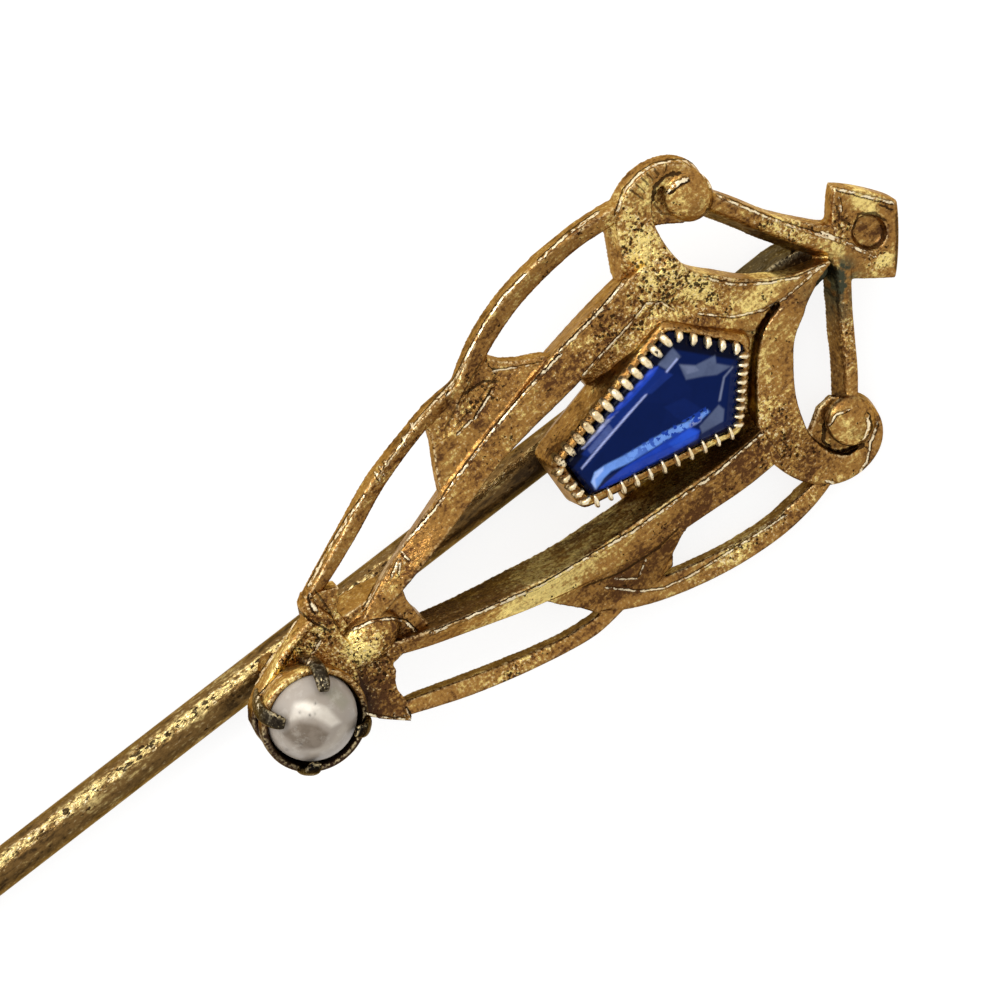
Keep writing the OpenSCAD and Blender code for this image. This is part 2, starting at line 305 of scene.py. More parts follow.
# Slope from the left-hand wing down to the corner of the opening beside it
GUSSET = [
    (7.68, 3.15, 1.45), (7.74, 3.33, 1.3), (8.04, 3.95, 1.15), (8.33, 4.58, 1.1), (8.62, 4.5, 1.52),
    (8.28, 3.9, 1.6), (8.2, 3.15, 1.68),
]
BAR = [
    (10.57, 3.75, 1.36, 0.19, 0, 0.56), (11.13, 2.85, 1.38, 0.2, 0, 0.6), (11.59, 2, 1.36, 0.2, 0, 0.6),
    (12.04, 1.2, 1.32, 0.2, 0, 0.6), (12.6, 0.28, 1.28, 0.21, 0, 0.6), (12.9, -0.2, 1.24, 0.21, 0, 0.58),
]
# How much wider each half of the left-hand bar is
BAR_STOUTER = 0.03
# Web between the arm and the arcs: along, to the left, height
WEB = [
    (1.2, 1.95, 2.3), (1.5, 2.5, 2.22), (1.89, 3.1, 2.1), (2.08, 3.5, 2.04), (2.7, 3.78, 1.9),
    (3.7, 3.99, 1.74), (4.3, 3.98, 1.62), (4.54, 3.61, 1.72), (4.93, 3.34, 1.86), (5.41, 3.12, 1.98),
    (5.7, 2.8, 2.02), (4.7, 2.6, 2.12), (2.5, 2.15, 2.26),
]
# Floor beside the collet
RECESS = [
    (6, 0.4), (6, 2.4), (8.1, 2.7), (9.4, 1.5), (10.3, 0.7), (11.1, 0.2), (11.1, -0.2), (10.3, -0.7),
    (9.4, -1.5), (8.1, -2.7), (4.7, -2.4), (4.75, -1.6), (6, -1.2),
]
# Bank between the collet and the left-hand arm: a point beside the collet, then one beside the arm or wing
BANK = [
    ((5.6, 1.1, 1.25), (5.6, 1.8, 1.25)), ((6.3, 1.25, 1.66), (6.2, 2.45, 1.5)),
    ((7.1, 1.48, 1.95), (7.1, 2.6, 1.62)), ((7.95, 1.68, 2.02), (8.1, 2.62, 1.62)),
    ((8.6, 1.1, 1.92), (9.4, 1.5, 1.38)), ((9.2, 0.45, 1.75), (10.3, 0.7, 1.26)),
    ((9.75, -0.2, 1.5), (11.1, 0.1, 1.2)),
]
CUSP = [(10.70, 0.55), (11.20, 0.42), (11.70, 0.24), (12.34, 0.04)]
# Floor of a scroll
HOLLOW = [
    (9.1, 4.3), (9.6, 4.9), (10.2, 4.92), (10.62, 4.6), (10.85, 4.2), (10.8, 3.6), (10.4, 3.18),
    (9.95, 3.23), (9.56, 3.52), (9.36, 3.64), (9.2, 3.95),
]
# Knob of a scroll and the swelling on it: shifts from the place in the model, and radii
KNOB = [((0.12, 0.0, -0.02), (0.64, 0.70, 0.32)), ((0.14, -0.03, 0.08), (0.52, 0.58, 0.26))]
WEB_SKEW, WING_SKEW, BAR_SKEW = -0.10, -0.04, -0.01
ARC_SLIP, WING_SLIP, BAR_SLIP = -0.018, -0.0045, -0.0065
ARC_STILL = 4.8
# Lozenge of the finial, with its pit
FINIAL_X, FINIAL_Y, FINIAL_TOP, FINIAL_THICK = 13.48, -0.06, 1.22, 0.58
LOZENGE_LEN, LOZENGE_W, LOZENGE_SHEAR = HEAD_TIP - FINIAL_X, 1.56, 0.14
PIT_X, PIT_Y, PIT_LEN, PIT_W, PIT_DEPTH = 13.58, -0.12, 0.46, 0.52, 0.24
# Rings of the lozenge and of the pit, from the outside in: trim or size, and depth below the top
LOZENGE_RINGS = [(0.04, FINIAL_THICK), (0, 0.10), (0.07, 0)]
PIT_RINGS = [(1.0, 0), (0.80, PIT_DEPTH)]
# Corners where the bars run into the lozenge, on the left and on the right
LEFT_CORNER = [
    (11.6, 1.95), (12.1, 1.1), (12.8, 0), (13.4, 0.5), (13.22, 1.06), (13.08, 0.84), (12.97, 0.73),
    (12.84, 0.74), (12.72, 0.84), (12.52, 1.07), (12.13, 1.54), (11.68, 2.14),
]
RIGHT_CORNER = [
    (12.3, -0.78), (12.62, -0.92), (12.95, -1.19), (13.22, -1.4), (13.44, -1.54), (13.3, -0.6), (12.8, -0.2),
]
# Top and depth of each slab, and the depth of what has no one top
RECESS_LEVELS, CUSP_LEVELS, HOLLOW_LEVELS = (1.05, 0.65), (1.40, 0.66), (1.12, 0.20)
CORNER_LEVELS = (FINIAL_TOP - 0.04, 0.50)
WEB_DEPTH, GUSSET_DEPTH, BANK_DEPTH = 0.42, 0.40, 1.0
# How far out the feet of the bars lie at their start and their end, as shares of half of their width
LEFT_ARM_FOOT, RIGHT_ARM_FOOT, RIGHT_ARM_INNER_FOOT = (-0.35, 0.76), (0.5, 0.8), (0.9, 1.6)
WING_FOOT, LEFT_BAR_FOOT, RIGHT_BAR_FOOT = (0.85, 1.3), 2.3, 1.9


def arms():
    """The V arms with the arcs and webs beside them."""
    shells = Shells()
    strand(shells, V_ARM, 1, outer_foot=LEFT_ARM_FOOT)
    strand(shells, V_ARM, -1, outer_foot=RIGHT_ARM_FOOT, inner_foot=RIGHT_ARM_INNER_FOOT)
    both_sides(shells, LOWER_ARC)
    both_sides(shells, UPPER_ARC, slip=ARC_SLIP, still=ARC_STILL)
    for side in (-1, 1):
        web = [(x + WEB_SKEW * side * y, side * y, z) for x, y, z in WEB]
        shells.plate(web if side < 0 else web[::-1], WEB_DEPTH)
    return shells


def scrolls(shells):
    """Sunk floors, and the flat knobs that the wings curl down to."""
    for side in (-1, 1):
        floor = [(x, side * y) for x, y in HOLLOW]
        shells.slab(floor if side < 0 else floor[::-1], *HOLLOW_LEVELS, SCROLL_SKEW)
    for side in (-1, 1):
        for (x, y, z), radii in KNOB:
            middle = (KNOB_X + x + SCROLL_SKEW * side * KNOB_Y, side * KNOB_Y + y, KNOB_Z + z)
            shells.ball(middle, radii)


def rhombus(length, width, level, corner=1.13, sides=64):
    """Points of a lozenge with slightly rounded corners, or of an ellipse where corner is 2."""
    points = []
    for a in np.linspace(0, 2 * math.pi, sides, endpoint=False):
        r = (abs(math.cos(a) / length) ** corner + abs(math.sin(a) / width) ** corner) ** (-1 / corner)
        points.append((r * math.cos(a), r * math.sin(a), level))
    return points


def finial(shells):
    """A lozenge with a round pit in its top."""
    rings = []
    for trim, drop in LOZENGE_RINGS:
        edge = rhombus(LOZENGE_LEN - trim, LOZENGE_W - trim, FINIAL_TOP - drop)
        rings.append([(FINIAL_X + x, FINIAL_Y + y + LOZENGE_SHEAR * x, z) for x, y, z in edge])
    for size, drop in PIT_RINGS:
        pit = rhombus(PIT_LEN * size, PIT_W * size, FINIAL_TOP - drop, 2)
        rings.append([(PIT_X + x, PIT_Y + y, z) for x, y, z in pit])
    shells.rings(rings)


def wings():
    """The wings with their scrolls, the bars, the cusp and the finial."""
    shells = Shells()
    bent = []
    for x, y, *rest in BATWING:
        bent.append((x - WING_BEND * math.exp(-((y - BEND_Y) / BEND_REACH) ** 2), y, *rest))
    for side, rows in ((1, bent), (-1, BATWING)):
        strand(shells, rows, side, skew=WING_SKEW, slip=WING_SLIP, outer_foot=WING_FOOT)
    shells.plate(GUSSET[::-1], GUSSET_DEPTH)
    stout = [(x, y, top, half + BAR_STOUTER, *rest) for x, y, top, half, *rest in BAR]
    for side, rows, foot in ((1, stout, LEFT_BAR_FOOT), (-1, BAR, RIGHT_BAR_FOOT)):
        strand(shells, rows, side, roof_section, BAR_SKEW, BAR_SLIP, outer_foot=1.0, inner_foot=foot)
    scrolls(shells)
    shells.slab(RECESS[::-1], *RECESS_LEVELS)
    shells.rings([[a, b, (*b[:2], b[2] - BANK_DEPTH), (*a[:2], a[2] - BANK_DEPTH)] for a, b in BANK])
    shells.slab(mirrored(CUSP)[::-1], *CUSP_LEVELS)
    for corner in (LEFT_CORNER, RIGHT_CORNER):
        shells.slab(corner, *CORNER_LEVELS)
    finial(shells)
    return shells


# Flattened end of the stem
TANG = [(STEM_END - 0.6, 0.50), (10.4, 0.62), (11.2, 0.64), (12.1, 0.53), (12.5, 0.38)]
TANG_LEVELS = (0.90, 1.05)


def tang():
    """The end of the stem under the cusp."""
    shells = Shells()
    shells.slab(mirrored(TANG)[::-1], *TANG_LEVELS)
    return shells


# Stone and collet
STONE_X, SHOULDER_X, STONE_TIP = 3.99, 7.95, 9.26
STONE_W, STONE_END_W = 3.26, 1.0
GIRDLE_TOP, GIRDLE_FALL = 2.42, 0.054
STONE_GAP = 0.05
# How far the end, the sides, the tip and the shoulders of the outline move for each millimetre that it grows
END_SHARE, SIDE_SHARE, TIP_SHARE, SHOULDER_SHARE = 0.75, 1.02, 1.3, 0.25
# How much further out the left corner of the end lies, and how fast the right-hand corners flare
END_SHIFT, FLARE = 0.10, 0.4


def kite(grow):
    """Kite outline of the stone, grown outward."""
    end_y, side_y = STONE_END_W / 2 + END_SHARE * grow, STONE_W / 2 + SIDE_SHARE * grow
    end_x, shoulder = STONE_X - TIP_SHARE * grow, SHOULDER_X + SHOULDER_SHARE * grow
    flare = FLARE * max(grow, 0)
    return [
        (end_x, end_y + END_SHIFT), (shoulder, side_y), (STONE_TIP + TIP_SHARE * grow, 0.0),
        (shoulder, -side_y - flare / 2), (end_x, -end_y - flare),
    ]


def girdle_z(x):
    """Height of the edge of the stone."""
    return GIRDLE_TOP - GIRDLE_FALL * (x - STONE_X)


def kite_ring(grow, rise, level=None):
    """Kite outline at a rise above the girdle, or at a level where one is given."""
    return [(x, y, girdle_z(x) + rise if level is None else level) for x, y in kite(grow)]


def rounded_kite(grow, rise, level, steps=5, radius=0.22):
    """The same ring with rounded corners."""
    corners = [Vector(c) for c in kite(grow)]
    ring = []
    for k, c in enumerate(corners):
        before, after = corners[k - 1], corners[(k + 1) % len(corners)]
        p = c + (before - c).normalized() * radius
        q = c + (after - c).normalized() * radius
        for i in range(steps + 1):
            t = i / steps
            v = p * (1 - t) ** 2 + c * 2 * t * (1 - t) + q * t**2
            ring.append((v.x, v.y, girdle_z(v.x) + rise if level is None else level))
    return ring


def signed_distance(x, y, corners):
    """Distance to an outline, above 0 inside it."""
    inside = np.zeros(len(x), bool)
    distance = np.full(len(x), 1e9)
    for (ax, ay), (bx, by) in zip(corners, corners[1:] + corners[:1]):
        t = np.clip(((x - ax) * (bx - ax) + (y - ay) * (by - ay)) / ((bx - ax) ** 2 + (by - ay) ** 2), 0, 1)
        distance = np.minimum(distance, np.hypot(x - ax - t * (bx - ax), y - ay - t * (by - ay)))
        if ay != by:
            inside ^= ((ay > y) != (by > y)) & (x < (bx - ax) * (y - ay) / (by - ay) + ax)
    return np.where(inside, distance, -distance)


# Section of the collet, from its outer foot over the rim to its inner foot: growth of the outline, then a
# rise above the girdle or a level
COLLET_WALL = [
    (-0.05, None, 0.42), (0.36, -1.10, None), (0.27, -0.22, None), (0.20, -0.10, None), (0.12, -0.05, None),
    (STONE_GAP, -0.08, None), (STONE_GAP, -0.36, None), (-0.10, -0.44, None), (-0.30, None, 0.70),
]
COLLET_FLOOR = [(-0.05, None, 0.42), (-0.02, None, 0.75)]


def collet():
    """A box with leaning walls, hollow under the stone."""
    shells = Shells()
    shells.rings([rounded_kite(*row) for row in COLLET_WALL], looped=True)
    shells.rings([rounded_kite(*row) for row in COLLET_FLOOR])
    return shells


TOOTH_WIDE, TOOTH_LONG, TOOTH_HIGH = 0.105, 0.21, 0.12
# How far outside the stone the teeth lie at each corner of it, and the pitch, width and length of the teeth
# on each side, from the upper long side round by the tip
TOOTH_LINE = [0.22, -0.03, -0.06, -0.04, 0.11]
TOOTH_ROWS = [(0.36, 1, 0.84), (0.37, 0.8, 0.42), (0.22, 0.55, 0.45), (0.38, 0.52, 0.8), (0.3, 0.75, 0.5)]
# Place along a tooth from its outer end, its width, and its rise
TOOTH = [(-1.0, 0.85, -0.16), (-0.6, 1.05, -0.02), (0.0, 1.0, 0.05), (0.6, 0.75, 0.03), (1.0, 0.35, -0.03)]
# Height of a tooth over the girdle, and how much higher it is once it lies on the stone
TOOTH_LIFT, ON_STONE = 0.08, 0.10


def teeth():
    """Rows of separate wedges along the rim, each laid across it and down over the stone."""
    shells = Shells()
    rim = [kite(grow)[k] for k, grow in enumerate(TOOTH_LINE)]
    for k, (pitch, wider, longer) in enumerate(TOOTH_ROWS):
        a, b = Vector(rim[k]), Vector(rim[(k + 1) % len(rim)])
        count = round((b - a).length / pitch)
        step = (b - a) / count
        along = step.normalized()
        inward = Vector((along.y, -along.x))
        for i in range(count):
            p = a + step * (i + 0.5)
            inset = signed_distance(np.array([p.x]), np.array([p.y]), kite(0))[0]
            lift = TOOTH_LIFT + np.interp(inset, (-0.12, 0.10), (0.0, ON_STONE))
            rows = []
            for t, wide, up in TOOTH:
                c = p + inward * (TOOTH_LONG * longer * t)
                size = (TOOTH_WIDE * wide * wider, TOOTH_HIGH * wide)
                rows.append((c.x, c.y, girdle_z(c.x) + lift + up, *size))
            shells.sweep(rows, sides=12)
    return shells


# Claw cup of the pearl
CUP_X, CUP_R, PEARL_Z, PEARL_R = -4.83, 1.39, 3.54, 1.156
CUP_CENTRE = (CUP_X - 0.02, -0.06, PEARL_Z)
PEARL_CENTRE = (CUP_X - 0.02, 0.03, PEARL_Z - 0.01)
# Heights from the middle of the pearl, with radii, up the outside of the cup and down its inside
CUP_WALL = [
    (-1.94, 0.02), (-1.94, 0.78), (-0.04, CUP_R), (0.2, CUP_R), (0.26, CUP_R - 0.03), (0.27, 1.25),
    (0.2, 1.21), (-0.4, 1.14), (-0.8, 0.91), (-1.08, 0.55), (-1.2, 0.03),
]
# Middle line of a claw: distance from the axis, height above the middle of the pearl, half of its width and
# half of its thickness
CLAW = [
    (1.02, -1.3, 0.9, 0.1), (1.22, -0.7, 1, 0.11), (1.36, -0.1, 1, 0.11), (1.35, 0.36, 1, 0.11),
    (1.19, 0.71, 0.95, 0.1), (1.02, 0.855, 0.85, 0.09), (0.9, 0.925, 0.62, 0.06),
]
# Columns: angle, half of the width, shift of the tip away from the axis and down
CLAWS = [(54, 0.20, 0.05), (134, 0.21, 0.08), (226, 0.22, 0.02), (314, 0.21, -0.04)]
# Share of the length of a claw where its tip begins
TIP_START = 0.4


def smoothstep(low, high, value):
    """How far a value has come on its way from low to high, with a soft start and end."""
    t = np.clip((value - low) / (high - low), 0, 1)
    return t * t * (3 - 2 * t)


def claws():
    """Four flat claws that stand round the pearl and bend in over it."""
    shells = Shells()
    line = curve(CLAW, 5)
    for angle, half, reach in CLAWS:
        out = Vector((math.cos(math.radians(angle)), math.sin(math.radians(angle)), 0))
        rows = []
        for i, (r, z, wide, thick) in enumerate(line):
            tip = smoothstep(TIP_START, 1.0, i / (len(line) - 1))
            c = Vector((CUP_X, 0, PEARL_Z)) + out * (r + reach * tip) + Vector((0, 0, z - reach * tip))
            rows.append((*c, half * wide, thick))
        shells.sweep(rows, across=(-out.y, out.x, 0))
    return shells


def cup():
    """A bowl under the pearl, on its post."""
    shells = Shells()
    shells.lathe(CUP_CENTRE, CUP_WALL)
    shells.post(*CUP_POST)
    return shells


# Base that holds the cup: wing on the left, knot where the lower arc starts, spur on the right, and a block
WING_PLATE = [
    (-3.1, 1.62), (-3.75, 1.66), (-4.6, 1.32), (-5.45, 0.96), (-5.9, 0.66), (-6.12, 0.3), (-6.19, -0.2),
    (-6.12, -0.8), (-5.8, -1.15), (-4.83, -1.25), (-3.5, -1), (-3, 0.5),
]
KNOT = [
    (-3.56, 1.62), (-3.42, 1.96), (-3.2, 2.12), (-2.84, 2.04), (-2.36, 1.82), (-2.5, 1.58), (-2.74, 1.36),
    (-2.75, 0.8), (-3.35, 0.6), (-3.46, 1.2),
]
SPUR = [
    (-3.85, 0.3), (-3.78, -1.52), (-3.42, -1.97), (-2.92, -2.46), (-2.72, -2.22), (-2.7, -1.86),
    (-2.72, -1.55), (-2.62, -1.27), (-2.45, -1.08), (-2.4, 0.3),
]
BASE = [(-3.9, 0.7), (-2.9, 0.98), (-2.0, 0.90), (-1.10, 0.66), (-1.20, 0.25)]
PLATE_LEVELS, KNOT_LEVELS, SPUR_LEVELS, BASE_LEVELS = (2.70, 0.50), (2.52, 0.50), (2.44, 0.60), (2.30, 1.1)
# Raised bars on the knot and the wing: along, to the left, height, half width, half thickness
RIDGE = [
    (-3.2, 2.02, 2.52, 0.08, 0.12), (-3.22, 1.75, 2.58, 0.17, 0.16), (-3.1, 1.3, 2.58, 0.16, 0.16),
    (-3.05, 0.92, 2.55, 0.1, 0.12),
]
STRAP = [
    (-3.45, 1.6, 2.66, 0.1, 0.12), (-4.2, 1.44, 2.7, 0.11, 0.12), (-5, 1.11, 2.74, 0.11, 0.12),
    (-5.65, 0.8, 2.74, 0.11, 0.12), (-6.05, 0.35, 2.74, 0.1, 0.12), (-6.1, -0.2, 2.7, 0.08, 0.1),
]
# Boss: its middle and its radii
BOSS = ((-2.58, 0.10, 2.32), (0.96, 0.62, 0.46))
# Posts: place along the stem, radius and top
CUP_POST, BASE_POST = (CUP_X, 0.42, 1.8), (-3.1, 0.4, 1.6)


def base():
    """Wing, knot, spur and boss, and the post down to the stem."""
    shells = Shells()
    shells.slab(WING_PLATE[::-1], *PLATE_LEVELS)
    shells.slab(KNOT[::-1], *KNOT_LEVELS)
    shells.slab(SPUR, *SPUR_LEVELS)
    for rows in (RIDGE, STRAP):
        shells.sweep(curve(rows, 6), sides=10)
    shells.slab(mirrored(BASE)[::-1], *BASE_LEVELS)
    shells.ball(*BOSS)
    shells.post(*BASE_POST)
    return shells


def stem(rows=360, point_rows=60, sides=44):
    """The round stem, from the tang to its point."""
    neck = POINT_X + POINT_LENGTH
    along = np.concatenate([np.linspace(STEM_END, neck, rows), np.linspace(neck, POINT_X, point_rows)[1:]])
    radius = np.interp(along, (POINT_X, neck, STEM_END), (POINT_R, STEM_R, STEM_R))
    turns = np.linspace(0, 2 * math.pi, sides, endpoint=False)
    shells = Shells()
    shells.rings([[(x, r * math.cos(a), r * math.sin(a)) for a in turns] for x, r in zip(along, radius)])
    return shells


# Meshes and what they keep

# Sizes of the voxels that the pieces are fused with, and what the bends of the stem are measured over
VOXEL, FINE, FINEST, STEM_GRAIN = 0.045, 0.04, 0.03, 0.1


def as_object(shells, name):
    """An object made of the shells as they are."""
    mesh = bpy.data.meshes.new(name)
    mesh.from_pydata(shells.points, [], shells.faces)
    mesh.update()
    return new_object(name, mesh)


def fused(shells, name, voxel):
    """One closed mesh in millimetres where the shells overlapped."""
    obj = as_object(shells, name)
    remesh = obj.modifiers.new("remesh", "REMESH")
    remesh.mode = "VOXEL"
    remesh.voxel_size = voxel
    remesh.adaptivity = 0.0
    smooth = obj.modifiers.new("smooth", "SMOOTH")
    smooth.factor = 0.5
    smooth.iterations = 1
    graph = bpy.context.evaluated_depsgraph_get()
    made = bpy.data.meshes.new_from_object(obj.evaluated_get(graph))
    obj.modifiers.clear()
    obj.data = made
    made.name = name
    return obj


def rows_of(parts, key, width, kind=np.float32):
    """What the points or the edges of a mesh hold under a key, as an array of rows."""
    values = np.empty(len(parts) * width, kind)
    parts.foreach_get(key, values)
    return values.reshape(-1, width)


def mesh_arrays(mesh):
    """Points, normals and edges of a mesh."""
    points, normals = (rows_of(mesh.vertices, key, 3).astype(float) for key in ("co", "normal"))
    return points, normals, rows_of(mesh.edges, "vertices", 2, np.int32)


def settle(mesh, points):
    """Moves a mesh from the head frame to its place in the row frame."""
    mesh.vertices.foreach_set("co", place(points).astype(np.float32).ravel())
    mesh.update()
    mesh.shade_smooth()


def store(mesh, name, values):
    """Keeps a number for each point, over any that the mesh had under this name."""
    kept = mesh.attributes.get(name) or mesh.attributes.new(name, "FLOAT", "POINT")
    kept.data.foreach_set("value", values.astype(np.float32))


def store_colour(mesh, name, colours):
    """Keeps a colour for each point."""
    rgba = np.concatenate([colours, np.ones((len(colours), 1))], axis=1)
    kept = mesh.attributes.new(name, "FLOAT_COLOR", "POINT")
    kept.data.foreach_set("color", rgba.astype(np.float32).ravel())


def neighbour_mean(edges, values):
    """The mean of the values at the other ends of the edges of each point."""
    count = len(values)
    ends = np.concatenate([edges[:, 0], edges[:, 1]])
    others = np.concatenate([edges[:, 1], edges[:, 0]])
    uses = np.maximum(np.bincount(ends, minlength=count), 1)
    if values.ndim == 1:
        return np.bincount(ends, values[others], count) / uses
    return np.stack([np.bincount(ends, column[others], count) / uses for column in values.T], axis=1)


def blurred(edges, values, rounds):
    """Values that are evened out along the edges."""
    for _ in range(rounds):
        values = 0.5 * values + 0.5 * neighbour_mean(edges, values)
    return values


# Charts of the tone, the pits, the blackening and the tarnish, with painted light and shade. Columns: along,
# to the left, reach along, reach across, strength.
# Tone of the gilding mixed with painted light and shade: above 0 where it is bright, below 0 where it is
# brown
TONES_WITH_LIGHT = [
    (8.6, 3.4, 0.6, 1.4, 1.5), (9.3, 1.9, 0.6, 0.8, 1.1), (10.6, 0.55, 1.1, 0.35, 1.3),
    (8.7, -2.6, 0.8, 0.7, -0.3), (10.3, -0.9, 0.8, 0.5, 0.2), (10.45, 4.1, 0.5, 0.5, 0.3),
    (10.3, -4.1, 0.45, 0.5, 0.5), (9.7, 4.7, 0.5, 0.35, 0.9), (9.9, 4.1, 0.4, 0.35, 0.6),
    (8.1, 3.9, 0.18, 0.6, -0.8), (13.88, 0.6, 0.24, 0.55, 1.6), (13.4, -1, 0.4, 0.3, 1.5),
    (13.2, 0.6, 0.3, 0.4, -0.2), (12.6, 0.1, 0.4, 0.5, 0.9), (11.8, 1.7, 0.6, 1.2, 0.7),
    (13.6, -0.1, 0.35, 0.38, -0.4), (6.5, -4.75, 2, 0.3, 0.6), (0.4, -3.1, 2.2, 0.35, 0.2),
    (1, -1.8, 3, 0.5, 1.3), (1.8, -2.2, 2.5, 0.25, 0.5), (7, 1.9, 0.9, 0.3, 0.8),
    (6.6, -2.8, 1.8, 0.5, -0.6), (-0.5, 3.2, 2.2, 0.3, 0.2), (2.2, 2.1, 1.6, 0.4, 0.25),
    (6.5, 2.5, 2.2, 0.5, -0.25), (8.4, 1.8, 1, 0.4, 0.3), (8.8, 0.85, 0.5, 0.6, -0.9),
    (3, 3.3, 1.3, 0.5, 0.1), (3.6, -3.2, 1.6, 0.55, -0.8), (7, -1.8, 2, 0.4, 1.4),
    (9.3, -0.9, 0.6, 0.5, 0.8), (-3.2, 1.2, 0.8, 0.8, 0.2), (-4.6, 1.2, 1, 0.5, 0.6),
    (-3.3, -1.3, 0.6, 1, -1.1), (-2.9, 0.1, 0.36, 0.45, 2.8),
]
# Where the casting is rough and full of pits
PITTED = [
    (8.6, 3.3, 0.9, 1.5, 1), (9.4, 1.6, 0.8, 0.9, 0.7), (6.8, 2.6, 2, 0.45, 0.8),
    (8.7, -2.9, 0.9, 1.6, 0.9), (6.2, -2.8, 1.5, 0.4, 0.4), (12.2, 1.2, 0.7, 0.9, 0.5),
    (13.1, 0.5, 0.35, 0.5, 0.9), (13.4, -0.9, 0.4, 0.4, 0.6), (12, -1.6, 0.6, 0.7, 0.5),
    (6.5, -4.8, 2, 0.3, 0.6), (0.5, -3.2, 2.4, 0.4, 0.6), (0.5, 3.3, 2.4, 0.3, 0.4),
    (3, 3.3, 1.3, 0.6, 0.5), (-1, 1.2, 0.8, 0.4, 0.5), (-3.8, 1.3, 1.4, 0.7, 0.9), (-3, -0.8, 0.9, 0.9, 1),
    (-2.6, 0.1, 1, 0.6, 0.7), (11.6, 2, 0.9, 0.9, 0.5), (11.5, -2.2, 0.9, 0.9, 0.4),
    (5.6, 1.5, 1.4, 0.5, 0.4), (7.2, 2, 1, 0.4, 0.5), (2, 2, 2.2, 0.4, 0.3),
]
# Black round the pearl: blackening on the cup's lower ring, with painted shade at the left edge of the plate
# under it
SOOT_AND_SHADE = [
    (-5.9, -0.6, 0.9, 0.9, 1.7), (-4.8, -1.35, 1, 1, 1.8), (-3.8, -1, 0.6, 0.6, 1.4),
    (-6.3, 0.2, 0.5, 0.5, 1.7),
]
# Grey-green tarnish
TARNISH = [
    (12.2, -0.8, 0.45, 0.45, 1.3), (12.5, -0.4, 0.35, 0.35, 0.9), (11.8, -1.4, 0.35, 0.35, 0.5),
    (11.4, -0.3, 0.35, 0.35, 0.35), (9.6, -0.3, 0.3, 0.3, 0.25),
]
